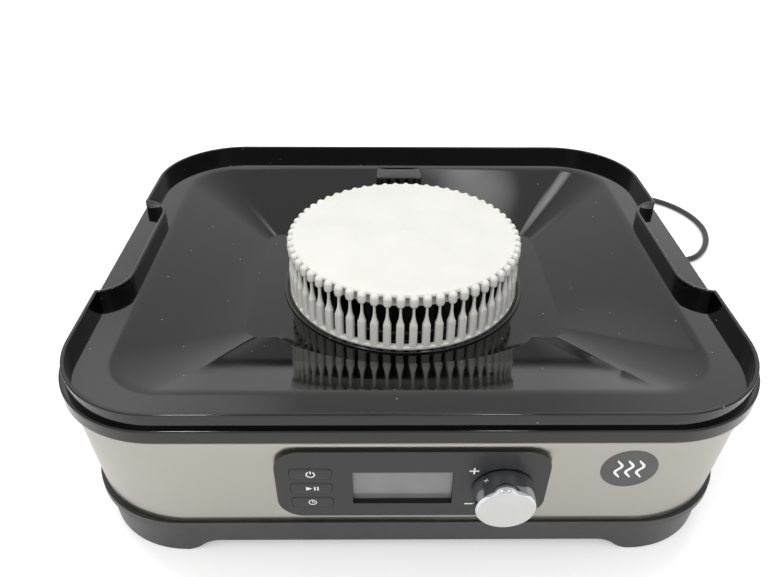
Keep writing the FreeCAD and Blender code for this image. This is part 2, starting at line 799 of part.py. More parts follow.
air_duct = new_body("air_duct")
DUCT_FOOT = f"({WELL_UNDER} - duct_length)"
revolve(air_duct, [("duct_radius - duct_wall", "0"), ("duct_radius + duct_flange", "0"),
                   ("duct_radius + duct_flange", "flange_thick"), ("duct_radius", "flange_thick"),
                   ("duct_radius", "duct_length"), ("duct_radius - duct_wall", "duct_length")])
flat = new_sketch(air_duct, "duct_length - ear_drop - ear_thick")
near = "-(duct_radius - duct_wall / 2)"
draw_outline(flat, "-ear_size", "ear_size", "-(ear_radius + ear_size)", near, "ear_size - duct_wall / 2",
             (0, 1))
ear = pad(air_duct, flat, "ear_thick")
flat = new_sketch(air_duct, "duct_length - ear_drop")
draw_circle(flat, "0", "-ear_radius", "small_screw + screw_gap")
hole = pocket(air_duct, flat, "ear_thick")
polar(air_duct, [ear, hole], "4")
air_duct.Placement = FreeCAD.Placement(Vector(), Rotation(Vector(0, 0, 1), 45))
stand_on_axis(air_duct, DUCT_FOOT)

heater_ring = doc.addObject("Part::Torus", "heater_ring")
HEATER_Z = f"({WELL_UNDER} - heater_drop)"
heater_ring.setExpression("Radius1", formula("heater_radius"))
heater_ring.setExpression("Radius2", formula("heater_tube"))
stand_on_axis(heater_ring, HEATER_Z)

heater_clip = new_body("heater_clip")
flat = new_sketch(heater_clip, "-(heater_tube + clip_thick)")
draw_outline(flat, "-clip_width / 2", "clip_width / 2", "heater_radius - heater_tube",
             "duct_radius - duct_wall - fit_gap / 2", "clip_thick / 2")
pad(heater_clip, flat, "clip_thick")
axis_y = num("fan_offset")
quarter_turns = [FreeCAD.Placement(Vector(0, axis_y, num(HEATER_Z)), Rotation(Vector(0, 0, 1), angle))
                 for angle in (45, 135, 225, 315)]
heater_clips = solid_group("heater_clips", heater_clip, quarter_turns)


# Motor on its bracket under the duct

motor_bracket = new_body("motor_bracket")
BRACKET_FOOT = f"({DUCT_FOOT} - bracket_thick)"
flat = new_sketch(motor_bracket)
draw_circle(flat, "0", "0", "duct_radius + duct_flange")
draw_circle(flat, "0", "0", "duct_radius + duct_flange - bracket_ring - duct_wall")
pad(motor_bracket, flat, "bracket_thick")
flat = new_sketch(motor_bracket)
draw_centred(flat, "0", "0", "2 * duct_radius", "bracket_arm", "bracket_thick")
pad(motor_bracket, flat, "bracket_thick")
flat = new_sketch(motor_bracket)
draw_centred(flat, "0", "0", "bracket_arm", "2 * duct_radius", "bracket_thick")
pad(motor_bracket, flat, "bracket_thick")
flat = new_sketch(motor_bracket)
for side in ("-", ""):
    draw_circle(flat, f"{side}bolt_spread", "0", "bracket_arm / 2 - bracket_thick")
pad(motor_bracket, flat, "bracket_thick + spacer_height")
flat = new_sketch(motor_bracket, "bracket_thick + spacer_height")
for side in ("-", ""):
    draw_circle(flat, f"{side}bolt_spread", "0", "bolt_radius + screw_gap")
pocket(motor_bracket, flat, "bracket_thick + spacer_height")
flat = new_sketch(motor_bracket)
FLANGE_MIDDLE = "(duct_radius + duct_flange / 2)"
FLANGE_HOLES = [(f"{side}{FLANGE_MIDDLE} * cos(45)", f"{end}{FLANGE_MIDDLE} * sin(45)")
                for side in ("-", "") for end in ("-", "")]
for x, y in FLANGE_HOLES:
    draw_circle(flat, x, y, "small_screw + screw_gap")
pocket(motor_bracket, flat, "bracket_thick", up=True)
stand_on_axis(motor_bracket, BRACKET_FOOT)
flat = new_sketch(air_duct)
draw_circle(flat, "0", f"-{FLANGE_MIDDLE}", "small_screw + screw_gap")
hole = pocket(air_duct, flat, "flange_thick", up=True)
polar(air_duct, [hole], "4")

STRIP_FOOT = f"({DUCT_FOOT} + spacer_height)"
CORE_FOOT = f"({STRIP_FOOT} + strip_thick)"
CORE_TOP = f"({CORE_FOOT} + core_stack)"

motor_core = new_body("motor_core")
flat = new_sketch(motor_core)
draw_outline(flat, "-core_width / 2", "core_width / 2", "-core_front", "core_back", "strip_thick")
draw_circle(flat, "0", "0", "core_bore")
for side in ("-", ""):
    draw_circle(flat, f"{side}bolt_spread", "0", "bolt_radius + screw_gap")
LEG_TOP = "(core_leg - core_front)"
draw_outline(flat, "-window_width / 2", "window_width / 2", LEG_TOP, f"{LEG_TOP} + window_depth",
             "strip_thick")
pad(motor_core, flat, "core_stack")
stand_on_axis(motor_core, CORE_FOOT)

motor_coil = new_body("motor_coil")
flat = new_sketch(motor_coil, "-coil_width / 2", plane="YZ_Plane")
draw_outline(flat, "-core_front - coil_wall", f"{LEG_TOP} + coil_wall", "-coil_rise",
             "core_stack + coil_rise", "strip_thick")
draw_outline(flat, "-core_front - fit_gap", f"{LEG_TOP} + fit_gap", "-fit_gap", "core_stack + fit_gap",
             "fit_gap")
pad(motor_coil, flat, "coil_width")
stand_on_axis(motor_coil, CORE_FOOT)


def bearing_strip(label, foot):
    """A flat strip across the core that holds a bearing bush."""
    body = new_body(label)
    flat = new_sketch(body)
    draw_centred(flat, "0", "0", "core_width", "strip_width", "strip_thick")
    draw_circle(flat, "0", "0", "bush_radius")
    for side in ("-", ""):
        draw_circle(flat, f"{side}bolt_spread", "0", "bolt_radius + screw_gap")
    pad(body, flat, "strip_thick")
    stand_on_axis(body, foot)


bearing_strip("motor_lower_strip", STRIP_FOOT)
bearing_strip("motor_upper_strip", CORE_TOP)
bush = new_body("bush")
revolve(bush, [("shaft_radius + shaft_gap", "0"), ("bush_radius", "0"), ("bush_radius", "bush_length"),
               ("shaft_radius + shaft_gap", "bush_length")])
bush_heights = (num(f"{CORE_FOOT} - bush_length"), num(CORE_TOP))
motor_bushes = solid_group("motor_bushes", bush, [upright(0, axis_y, z) for z in bush_heights])
bolt = new_body("bolt")
BOLT_RISE = "(bracket_thick + spacer_height + 2 * strip_thick + core_stack)"
revolve(bolt, [("0", "-screw_head_height"), ("screw_head", "-screw_head_height"), ("screw_head", "0"),
               ("bolt_radius", "0"), ("bolt_radius", BOLT_RISE),
               ("screw_head", BOLT_RISE), ("screw_head", f"{BOLT_RISE} + screw_head_height"),
               ("bolt_radius", f"{BOLT_RISE} + screw_head_height"),
               ("bolt_radius", f"{BOLT_RISE} + screw_head_height + fit_gap"),
               ("0", f"{BOLT_RISE} + screw_head_height + fit_gap")])
spread = num("bolt_spread")
motor_bolts = solid_group("motor_bolts", bolt, [upright(side * spread, axis_y, num(BRACKET_FOOT))
                                                for side in (-1, 1)])

motor_rotor = new_body("motor_rotor")
flat = new_sketch(motor_rotor)
draw_circle(flat, "0", "0", "core_bore - fit_gap")
draw_circle(flat, "0", "0", "shaft_radius")
pad(motor_rotor, flat, "core_stack - 2 * rotor_gap")
stand_on_axis(motor_rotor, f"{CORE_FOOT} + rotor_gap")

IMPELLER_FOOT = f"({WELL} + impeller_lift)"
NUT_FOOT = f"({IMPELLER_FOOT} + impeller_height)"
SHAFT_FOOT = f"({CORE_FOOT} - bush_length - rotor_gap)"
motor_shaft = new_body("motor_shaft")
flat = new_sketch(motor_shaft)
draw_circle(flat, "0", "0", "shaft_radius")
pad(motor_shaft, flat, f"{NUT_FOOT} + nut_height + fit_gap * 2 - {SHAFT_FOOT}")
stand_on_axis(motor_shaft, SHAFT_FOOT)


def on_arm(label, radius, height, x, y):
    """A small round part that stands on one arm of the motor bracket."""
    body = new_body(label)
    flat = new_sketch(body)
    draw_circle(flat, x, y, radius)
    pad(body, flat, height)
    stand_on_axis(body, DUCT_FOOT)
    return body


thermal_cutout = on_arm("thermal_cutout", "cutout_radius", "cutout_height", "0", "cutout_place")
flat = new_sketch(thermal_cutout, "cutout_height")
draw_circle(flat, "0", "cutout_place", "cutout_radius - duct_wall")
pad(thermal_cutout, flat, "duct_wall")
on_arm("temperature_sensor", "sensor_radius", "sensor_height", "0", "-sensor_place")
thermal_fuse = doc.addObject("Part::Cylinder", "thermal_fuse")
thermal_fuse.setExpression("Radius", formula("fuse_radius"))
thermal_fuse.setExpression("Height", formula("fuse_length"))
thermal_fuse.Placement = FreeCAD.Placement(Vector(), Rotation(Vector(0, 1, 0), 90))
stand(thermal_fuse, "-fuse_length / 2", "fan_offset + fuse_place", f"{DUCT_FOOT} + fuse_radius")


# Impeller: a top plate on a hub, curved blades and a lower ring

impeller = new_body("impeller")
PLATE = "(impeller_height - impeller_plate)"
revolve(impeller, [("shaft_radius", "impeller_plate"), ("hub_radius", "impeller_plate"),
                   ("hub_radius", PLATE), ("impeller_radius", PLATE),
                   ("impeller_radius", "impeller_height"), ("shaft_radius", "impeller_height")])
BLADE_INNER = "(impeller_radius - blade_length)"
BLADE_MIDDLE = "(impeller_radius - blade_length / 2)"


def draw_blade(flat):
    """A blade of even thickness between two arcs that bow forwards from root to tip."""
    def arc_points(shift):
        root = Vector(num(BLADE_INNER), shift, 0)
        belly = Vector(num(BLADE_MIDDLE), shift + num("blade_belly"), 0)
        tip = Vector(num("impeller_radius - blade_thick"), shift + num("blade_sweep"), 0)
        return root, belly, tip
    half = num("blade_thick / 2")
    near = Part.Arc(*arc_points(-half))
    far = Part.Arc(*arc_points(half))
    for arc in (near, far):
        flat.addGeometry(arc)
    flat.addGeometry(Part.LineSegment(arc_points(-half)[0], arc_points(half)[0]))
    flat.addGeometry(Part.LineSegment(arc_points(-half)[2], arc_points(half)[2]))


flat = new_sketch(impeller)
draw_blade(flat)
blade = pad(impeller, flat, "impeller_height - impeller_plate / 2")
polar(impeller, [blade], "blade_count")
flat = new_sketch(impeller)
draw_circle(flat, "0", "0", "impeller_radius")
draw_circle(flat, "0", "0", "impeller_radius - impeller_ring")
pad(impeller, flat, "impeller_plate")
stand_on_axis(impeller, IMPELLER_FOOT)

impeller_nut = new_body("impeller_nut")
flat = new_sketch(impeller_nut)
draw_polygon(flat, [(f"nut_width / sqrt(3) * cos({60 * step})", f"nut_width / sqrt(3) * sin({60 * step})")
                    for step in range(6)])
draw_circle(flat, "0", "0", "shaft_radius")
pad(impeller_nut, flat, "nut_height")
stand_on_axis(impeller_nut, NUT_FOOT)


# Control panel on the leaning front face

LCD_X = "(-lcd_centre)"
LCD_Y = "(-lcd_drop)"
DIAL_Y = "(-dial_drop)"
BUTTON_X = "(-button_place)"
BUTTONS = ("power_button", "start_button", "set_button")
BUTTON_HEIGHTS = [f"(button_first - {index} * button_pitch)" for index in range(len(BUTTONS))]

control_bezel = new_body("control_bezel")
flat = new_sketch(control_bezel)
draw_centred(flat, "0", "0", "panel_width", "panel_height", "panel_corner")
pad(control_bezel, flat, "panel_thick")
flat = new_sketch(control_bezel)
draw_centred(flat, "0", "0", FRAME_WIDTH, FRAME_HEIGHT, "frame_corner")
pad(control_bezel, flat, "board_depth", down=True)
flat = new_sketch(control_bezel, "-board_depth")
draw_centred(flat, "0", "0", f"{FRAME_WIDTH} - 2 * frame_wall", f"{FRAME_HEIGHT} - 2 * frame_wall",
             "frame_corner - frame_wall")
pocket(control_bezel, flat, "board_depth - frame_back", up=True)
flat = new_sketch(control_bezel, "panel_thick")
draw_centred(flat, LCD_X, LCD_Y, "lcd_width", "lcd_height", "fit_gap")
for height in BUTTON_HEIGHTS:
    draw_centred(flat, BUTTON_X, height, "button_width", "button_height", "button_corner")
draw_circle(flat, "dial_place", DIAL_Y, "encoder_bush + slide_gap")
pocket(control_bezel, flat, "panel_thick + frame_back")
flat = new_sketch(control_bezel, "-frame_back")
draw_centred(flat, LCD_X, LCD_Y, "lcd_width + 2 * lcd_margin", "lcd_height + 2 * lcd_margin", "fit_gap")
pocket(control_bezel, flat, "frame_back + panel_thick - lcd_recess", up=True)
stand_on_panel(control_bezel)


def panel_block(label, x, y, width, height, back, thick, corner):
    """A flat piece of the control panel, between two depths behind the face."""
    body = new_body(label)
    flat = new_sketch(body, back)
    draw_centred(flat, x, y, width, height, corner)
    pad(body, flat, thick)
    stand_on_panel(body)
    return body


LENS_FRONT = "(panel_thick - lcd_recess)"
lens_size = ("lcd_width + 2 * lcd_margin - 2 * slide_gap", "lcd_height + 2 * lcd_margin - 2 * slide_gap")
panel_block("display_lens", LCD_X, LCD_Y, *lens_size, f"{LENS_FRONT} - lens_thick", "lens_thick", "fit_gap")
panel_block("display_module", LCD_X, LCD_Y, *lens_size, f"{LENS_FRONT} - lens_thick - module_thick",
            "module_thick", "fit_gap")
control_board = panel_block("control_board", "0", "0", FRAME_WIDTH, FRAME_HEIGHT,
                            "-board_depth - board_thick", "board_thick", "frame_corner")
encoder = panel_block("encoder", "dial_place", DIAL_Y, "encoder_size", "encoder_size", "-board_depth",
                      "board_depth - frame_back", "frame_wall / 2")
flat = new_sketch(encoder, "-frame_back")
draw_circle(flat, "dial_place", DIAL_Y, "encoder_bush")
pad(encoder, flat, "frame_back + panel_thick")
flat = new_sketch(encoder, "panel_thick")
draw_circle(flat, "dial_place", DIAL_Y, "dial_shaft + shaft_gap")
pocket(encoder, flat, "panel_thick + board_depth - frame_wall")

for label, height in zip(BUTTONS, BUTTON_HEIGHTS):
    button = panel_block(label, BUTTON_X, height, "button_width - 2 * slide_gap",
                         "button_height - 2 * slide_gap", "-frame_back",
                         "frame_back + panel_thick + button_proud", "button_corner - slide_gap")
    flat = new_sketch(button, "-frame_back")
    draw_centred(flat, BUTTON_X, height, "button_width + 2 * button_flange",
                 "button_height + 2 * button_flange", "button_corner")
    pad(button, flat, "flange_depth", down=True)

tact_switches = doc.addObject("Part::Feature", "tact_switches")
switches = []
for index, height in enumerate(BUTTON_HEIGHTS):
    half = num("switch_size / 2")
    corner = Vector(num(BUTTON_X) - half, num(height) - half, -num("board_depth"))
    case = Part.makeBox(2 * half, 2 * half, num("switch_height"), corner)
    foot = Vector(num(BUTTON_X), num(height), -num("board_depth"))
    reach = num("board_depth - frame_back - flange_depth - button_travel - slide_gap")
    switches.append(case.fuse(Part.makeCylinder(half / 2, reach, foot)).removeSplitter())
tact_switches.Shape = Part.makeCompound(switches)
stand_on_panel(tact_switches)

knob = new_body("knob")
revolve(knob, [("dial_shaft", "0"), ("knob_radius", "0"), ("knob_face", "knob_height - knob_chamfer"),
               ("knob_face - knob_chamfer", "knob_height"), ("0", "knob_height"),
               ("0", "knob_grip"), ("dial_shaft", "knob_grip")])
dial_shaft = new_body("dial_shaft")
flat = new_sketch(dial_shaft)
draw_circle(flat, "0", "0", "dial_shaft")
pad(dial_shaft, flat, "board_depth - frame_wall + panel_thick + knob_gap + knob_grip - fit_gap * 2")


def stand_on_dial(body, out):
    """Sets a body on the dial's axis, at a distance out from the steel."""
    body.Placement = FreeCAD.Placement(Vector(), Rotation(Vector(1, 0, 0), 90))
    rise = f"({LIP_TOP} + panel_centre + {DIAL_Y} * cos(band_lean) - ({out}) * sin(band_lean))"
    front = f"(body_depth / 2 + {BAND_FOOT_OUT} + panel_centre * tan(band_lean))"
    depth = f"-({front} + {DIAL_Y} * sin(band_lean) + ({out}) * cos(band_lean))"
    stand(body, "dial_place", depth, rise)
    body.setExpression("Placement.Rotation.Angle", formula("90 + band_lean"))


stand_on_dial(knob, "panel_thick + knob_gap")
stand_on_dial(dial_shaft, "fit_gap * 2 - board_depth + frame_wall")


# Mains board and its parts on the base

BOARD_FOOT = f"({BASE_INSIDE} + standoff_height)"
BOARD_TOP = f"({BOARD_FOOT} + board_thick)"


def board_block(label, x, y, width, depth, foot, height, corner):
    """A box-shaped piece on the mains board, placed from the board's near left corner."""
    body = new_body(label)
    flat = new_sketch(body, foot)
    left = f"(mains_board_x + {x})"
    front = f"({y} - mains_board_y)"
    draw_outline(flat, left, f"{left} + {width}", front, f"{front} + {depth}", corner)
    pad(body, flat, height)
    return body


mains_board = board_block("mains_board", "0", "0", "mains_board_width", "mains_board_depth",
                          BOARD_FOOT, "board_thick", "standoff_inset / 2")
flat = new_sketch(mains_board, BOARD_FOOT)
for x, y in BOARD_POSTS:
    draw_circle(flat, x, y, "small_screw + screw_gap")
pocket(mains_board, flat, "board_thick", up=True)
for label in ("relay", "transformer", "capacitor", "terminal_block"):
    board_block(label, f"{label}_x", f"{label}_y", f"{label}_width", f"{label}_depth", BOARD_TOP,
                f"{label}_height", "case_corner")


# Fasteners

case_screw = screw_master("case_screw", "screw_radius", "screw_head", "screw_head_height",
                          "post_shelf + screw_bite")
solid_group("case_screws", case_screw, square_places(num("post_x"), num("post_y"), num(POST_SHELF)))
ear_screw = screw_master("ear_screw", "small_screw", "small_head", "small_head_height",
                         "ear_thick + small_bite")
ear_reach = num("ear_radius * cos(45)")
ear_z = num(f"{WELL_UNDER} - ear_drop - ear_thick")
solid_group("duct_screws", ear_screw, square_places(ear_reach, ear_reach, ear_z, axis_y))
flange_screw = screw_master("flange_screw", "small_screw", "small_head", "small_head_height",
                            "bracket_thick + flange_thick")
flange_reach = num(f"{FLANGE_MIDDLE} * cos(45)")
solid_group("bracket_screws", flange_screw,
            square_places(flange_reach, flange_reach, num(BRACKET_FOOT), axis_y))
board_screw = screw_master("board_screw", "small_screw", "small_head", "small_head_height",
                           "board_thick + small_bite")
board_places = [FreeCAD.Placement(Vector(num(x), num(y), num(BOARD_TOP)), Rotation(Vector(1, 0, 0), 180))
                for x, y in BOARD_POSTS]
solid_group("board_screws", board_screw, board_places)


# Mains cord: bushing, free run, coil, tie and plug

ARC_SHARE = 0.45


def run_lengths(points):
    """The straight distances from each point to the next."""
    return [(after - before).Length for before, after in zip(points, points[1:])]


def rounded_path(points):
    """Straight runs joined by tangent arcs, each as large as its two runs allow."""
    edges = []
    radii = []
    lengths = run_lengths(points)
    start = points[0]
    for index in range(1, len(points) - 1):
        corner = points[index]
        way_in = (corner - points[index - 1]).normalize()
        way_out = (points[index + 1] - corner).normalize()
        half_turn = way_in.getAngle(way_out) / 2
        reach = ARC_SHARE * min(lengths[index - 1], lengths[index])
        bend = reach / math.tan(half_turn)
        inward = (way_out - way_in).normalize()
        middle = corner + inward * (bend / math.cos(half_turn) - bend)
        begin = corner - way_in * reach
        end = corner + way_out * reach
        edges.append(Part.LineSegment(start, begin).toShape())
        edges.append(Part.Arc(begin, middle, end).toShape())
        radii.append(bend)
        start = end
    edges.append(Part.LineSegment(start, points[-1]).toShape())
    return Part.Wire(edges), radii


def arc_from_corner(start, corner, end):
    """The arc from start to end whose tangents meet at the corner, or a line if there is none."""
    way_in = (corner - start).normalize()
    way_out = (end - corner).normalize()
    half_turn = way_in.getAngle(way_out) / 2
    if half_turn < 1e-6:
        return Part.LineSegment(start, end).toShape()
    bend = (corner - start).Length / math.tan(half_turn)
    inward = (way_out - way_in).normalize()
    middle = corner + inward * (bend / math.cos(half_turn) - bend)
    return Part.Arc(start, middle, end).toShape()


def biarc(start, way_in, end, way_out):
    """Two arcs that join a point and direction to another point and direction."""
    chord = end - start
    ways = way_in + way_out
    spare = 2 * (1 - way_in.dot(way_out))
    lean = chord.dot(ways)
    if spare < 1e-9:
        reach = chord.dot(chord) / (4 * chord.dot(way_out))
    else:
        reach = (-lean + math.sqrt(lean ** 2 + spare * chord.dot(chord))) / spare
    first = start + way_in * reach
    second = end - way_out * reach
    joint = (first + second) * 0.5
    return [arc_from_corner(start, first, joint), arc_from_corner(joint, second, end)]


def tube(label, path):
    """A round tube along a path, from a pipe shell."""
    start = path.Edges[0]
    way = start.tangentAt(start.FirstParameter)
    circle = Part.Circle(path.OrderedVertexes[0].Point, way, num("cord_diameter / 2"))
    shape = path.makePipeShell([Part.Wire(circle.toShape())], True, False)
    piece = doc.addObject("Part::Feature", label)
    piece.Label = label
    piece.Shape = shape
    expected = math.pi * num("cord_diameter / 2") ** 2 * path.Length
    print(f"{label}: length {path.Length:.1f}, volume {shape.Volume:.0f} of {expected:.0f}")
    return piece


cord_bushing = new_body("cord_bushing")
revolve(cord_bushing, [("0", "-base_wall"), ("bushing_radius", "-base_wall"), ("bushing_radius", "0"),
                       ("bushing_flange", "0"), ("bushing_flange", "bushing_collar"),
                       ("bushing_radius", "bushing_collar"), ("bushing_tip", "bushing_length"),
                       ("0", "bushing_length")])
cord_bushing.Placement = FreeCAD.Placement(Vector(), Rotation(Vector(1, 0, 0), -90))
BACK_WALL = f"(body_depth / 2 + {BASE_OUT})"
stand(cord_bushing, "cord_exit_x", BACK_WALL, "cord_exit_z")

exit_y = num(f"{BACK_WALL} + bushing_length")
floor_z = num("cord_diameter / 2 + cord_lift")
coil_z = num("coil_z")
CORD_ROUTE = [
    (num("cord_exit_x"), exit_y, num("cord_exit_z")),
    (num("cord_exit_x"), exit_y + 18, num("cord_exit_z")),
    (117.5, 212, 9.5),
    (129, 233, floor_z),
    (156, 240, floor_z),
    (181, 222, floor_z),
    (201, 192, floor_z),
    (216, 160, floor_z),
    (234, 144, floor_z),
    (258, 146, floor_z),
    (274, 163, floor_z),
    (285, 186, floor_z),
    (288, 210, floor_z),
    (281, 236, floor_z),
    (264, 258, floor_z),
    (238, 268, floor_z),
    (204, 263, floor_z),
    (168, 256, floor_z),
    (131, 261, floor_z),
    (97, num("coil_y + coil_outer"), coil_z),
    (num("coil_x + cord_diameter"), num("coil_y + coil_outer"), coil_z),
]
route = [Vector(*point) for point in CORD_ROUTE]
path, radii = rounded_path(route)
print("cord runs", [round(length) for length in run_lengths(route)])
print("cord radii", [round(radius) for radius in radii])
power_cord = tube("power_cord", path)

TURNS_IN = 2
TURNS_OUT = 1.5


def coil_point(turns):
    """A point of the coil: spirals in on the table, climbs in half a turn, spirals out above."""
    pitch = num("coil_pitch")
    reversal = TURNS_IN + 0.25
    radius = num("coil_outer") - pitch * (reversal - abs(turns - reversal))
    climb = min(max((turns - TURNS_IN) / 0.5, 0), 1)
    height = coil_z + pitch * (1 - math.cos(math.pi * climb)) / 2
    angle = 2 * math.pi * turns + math.pi / 2
    return Vector(num("coil_x") + radius * math.cos(angle), num("coil_y") + radius * math.sin(angle), height)


def coil_way(turns):
    """The direction of the coil at a point."""
    step = 0.02
    return (coil_point(turns + step) - coil_point(turns - step)).normalize()


LEFTWARDS = Vector(-1, 0, 0)
total_turns = TURNS_IN + 0.5 + TURNS_OUT
knots = [(coil_point(0), LEFTWARDS)]
for quarter_index in range(1, round(4 * total_turns)):
    knots.append((coil_point(quarter_index / 4), coil_way(quarter_index / 4)))
top_end = coil_point(total_turns)
knots.append((top_end, LEFTWARDS))
tail = num("tail_length")
plug_z = num("plug_thick / 2 + 2 * cord_lift")
knots.append((Vector(top_end.x - tail * 0.4, top_end.y + 0.5, top_end.z), LEFTWARDS))
tail_end = Vector(top_end.x - tail, top_end.y + 1, plug_z)
knots.append((tail_end, LEFTWARDS))
plug_entry = tail_end + LEFTWARDS * num("cord_diameter")
edges = [Part.LineSegment(route[-1], coil_point(0)).toShape()]
for (start, way_in), (end, way_out) in zip(knots, knots[1:]):
    edges += biarc(start, way_in, end, way_out)
edges.append(Part.LineSegment(tail_end, plug_entry).toShape())
coil_path = Part.Wire(edges)
cord_coil = tube("cord_coil", coil_path)


def least_gap(wire, diameter):
    """The least gap between stretches of a tube that aren't neighbours along it."""
    points = wire.discretize(Distance=1.0)
    skip = math.ceil(3 * diameter)
    gaps = []
    for index, point in enumerate(points):
        for other in points[index + skip:]:
            gaps.append((point - other).Length)
    return min(gaps) - diameter


print(f"cord_coil: least gap to itself {least_gap(coil_path, num('cord_diameter')):.2f}")
print(f"cord, whole length {path.Length + coil_path.Length:.0f}")

TIE_ANGLE = -20
tie_turns = [turn + (TIE_ANGLE + 270) / 360 for turn in range(4)]
centre = Vector(num("coil_x"), num("coil_y"), 0)
reaches = [Vector(point.x, point.y, 0).distanceToPoint(centre) for point in map(coil_point, tie_turns)]
room = num("cord_diameter / 2 + 2 * fit_gap")
thick = num("tie_thick")
low, high = min(reaches) - room, max(reaches) + room
base, top = coil_z - room, coil_z + num("coil_pitch") + room
width = num("tie_width")
outside = Part.makeBox(high - low + 2 * thick, width, top - base + 2 * thick,
                       Vector(low - thick, -width / 2, base - thick))
inside = Part.makeBox(high - low, width, top - base, Vector(low, -width / 2, base))
cord_tie = doc.addObject("Part::Feature", "cord_tie")
cord_tie.Shape = outside.cut(inside)
cord_tie.Placement = FreeCAD.Placement(centre, Rotation(Vector(0, 0, 1), TIE_ANGLE))

plug_body = new_body("plug_body")
flat = new_sketch(plug_body, "-plug_thick / 2")
draw_outline(flat, "-plug_neck - plug_length", "-plug_neck", "-plug_width / 2", "plug_width / 2",
             "plug_corner")
pad(plug_body, flat, "plug_thick")
flat = new_sketch(plug_body, "-plug_neck", plane="YZ_Plane")
draw_circle(flat, "0", "0", "cord_diameter * 0.85")
pad(plug_body, flat, "plug_neck", lean="-cord_diameter")
plug_body.Placement = FreeCAD.Placement(plug_entry, Rotation())

pin = new_body("pin")
flat = new_sketch(pin, "-plug_neck - plug_length - pin_length", plane="YZ_Plane")
draw_circle(flat, "0", "0", "pin_radius")
pad(pin, flat, "pin_length")
half_spread = num("pin_spread / 2")
solid_group("plug_pins", pin, [upright(plug_entry.x, plug_entry.y + side * half_spread, plug_entry.z)
                               for side in (-1, 1)])


# Check every object, then write each sub-part

MASTERS = {"foot_pad", "heater_clip", "bush", "bolt", "case_screw", "ear_screw", "flange_screw",
           "board_screw", "pin"}
doc.recompute()
for item in doc.Objects:
    if "Invalid" in item.State or "Error" in item.State:
        raise RuntimeError(f"{item.Label} failed: {item.State}")
    if item.TypeId in ("PartDesign::Pocket", "PartDesign::SubtractiveLoft"):
        if item.Shape.Volume > item.BaseFeature.Shape.Volume - 1e-3:
            raise RuntimeError(f"{item.Label} cuts nothing")

nodes = [item for item in doc.Objects
         if item.TypeId in ("PartDesign::Body", "Part::Feature", "Part::Torus", "Part::Cylinder")
         and item.Label not in MASTERS]
os.makedirs("parts", exist_ok=True)
for node in nodes:
    if node.Shape.isNull() or not node.Shape.isValid():
        raise RuntimeError(f"{node.Label} has no valid shape")
for node in nodes:
    node.Shape.exportStep(f"parts/{node.Label}.step")
print(len(nodes), "nodes")
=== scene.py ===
# %% [markdown]
# # The base unit of a stacking food dehydrator
#
# A shallow black funnel with a rim that carries trays, a white ribbed cover over the fan, a band of
# brushed steel with a small control panel, and a dark base on swept feet. The CAD model holds the true
# sizes, so every surface here is worked out in the same frame: X to the right, Y to the back, Z up.
# Lengths are written in millimetres, as on a drawing, and turned into metres when a mesh is made.

import bmesh
import bpy
import numpy as np
from mathutils import Matrix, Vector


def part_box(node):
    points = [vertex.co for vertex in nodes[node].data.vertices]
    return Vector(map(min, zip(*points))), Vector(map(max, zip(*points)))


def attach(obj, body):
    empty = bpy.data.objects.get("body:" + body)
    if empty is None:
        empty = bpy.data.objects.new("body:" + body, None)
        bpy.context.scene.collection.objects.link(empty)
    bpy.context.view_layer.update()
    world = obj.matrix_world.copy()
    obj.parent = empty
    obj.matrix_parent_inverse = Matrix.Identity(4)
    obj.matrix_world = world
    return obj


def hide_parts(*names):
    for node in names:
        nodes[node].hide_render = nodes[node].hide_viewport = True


MM = 0.001
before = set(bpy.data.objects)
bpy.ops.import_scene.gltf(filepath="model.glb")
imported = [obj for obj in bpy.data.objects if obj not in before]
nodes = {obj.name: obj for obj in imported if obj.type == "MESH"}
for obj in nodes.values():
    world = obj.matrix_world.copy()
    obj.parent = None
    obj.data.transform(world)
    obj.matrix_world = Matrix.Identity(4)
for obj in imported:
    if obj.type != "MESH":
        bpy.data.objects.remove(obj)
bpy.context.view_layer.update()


def add_object(name, data):
    """A new object with that mesh, curve, camera or lamp, linked to the scene."""
    added = bpy.data.objects.new(name, data)
    bpy.context.scene.collection.objects.link(added)
    return added


# %% [markdown]
# ## The camera
#
# The picture is taken from close by, a little to the left, and looks down at the front. A camera could be
# aimed at a target, but three angles and a place say the same thing in fewer words, and they can be
# measured: the lens length decides how fast the far rim shrinks, and the pitch how much of the deck shows.

# %% Camera
CAMERA_PLACE = (-17.3, -392.3, 333.0)
CAMERA_PITCH, CAMERA_YAW, CAMERA_ROLL = np.radians([33.81, -0.75, -0.43])
CAMERA_LENS, CAMERA_NEAR = 34.23, 10.0

camera = add_object("camera", bpy.data.cameras.new("camera"))
camera.data.lens = CAMERA_LENS
camera.data.clip_start = CAMERA_NEAR * MM
camera.matrix_world = (
    Matrix.Translation([value * MM for value in CAMERA_PLACE])
    @ Matrix.Rotation(CAMERA_YAW, 4, "Z")
    @ Matrix.Rotation(-CAMERA_PITCH, 4, "X")
    @ Matrix.Rotation(CAMERA_ROLL, 4, "Y")
    @ Matrix.Rotation(np.pi / 2, 4, "X")
)
bpy.context.scene.camera = camera
print("camera lens", CAMERA_LENS, "mm")

# %% [markdown]
# ## Node helpers for the finishes
#
# No real surface is one flat colour: plastic has a grain from its mould, steel has brush lines, and every
# gloss has faint smudges. All of these are noise read at the right scale. The helpers below chain the few
# nodes that each finish needs, on Object coordinates, so the pattern stays on the piece when it moves.

# %% Node helpers
def new_finish(name):
    """An empty finish: the material, its node tree and its main shader."""
    material = bpy.data.materials.new(name)
    material.use_nodes = True
    return material, material.node_tree, material.node_tree.nodes["Principled BSDF"]


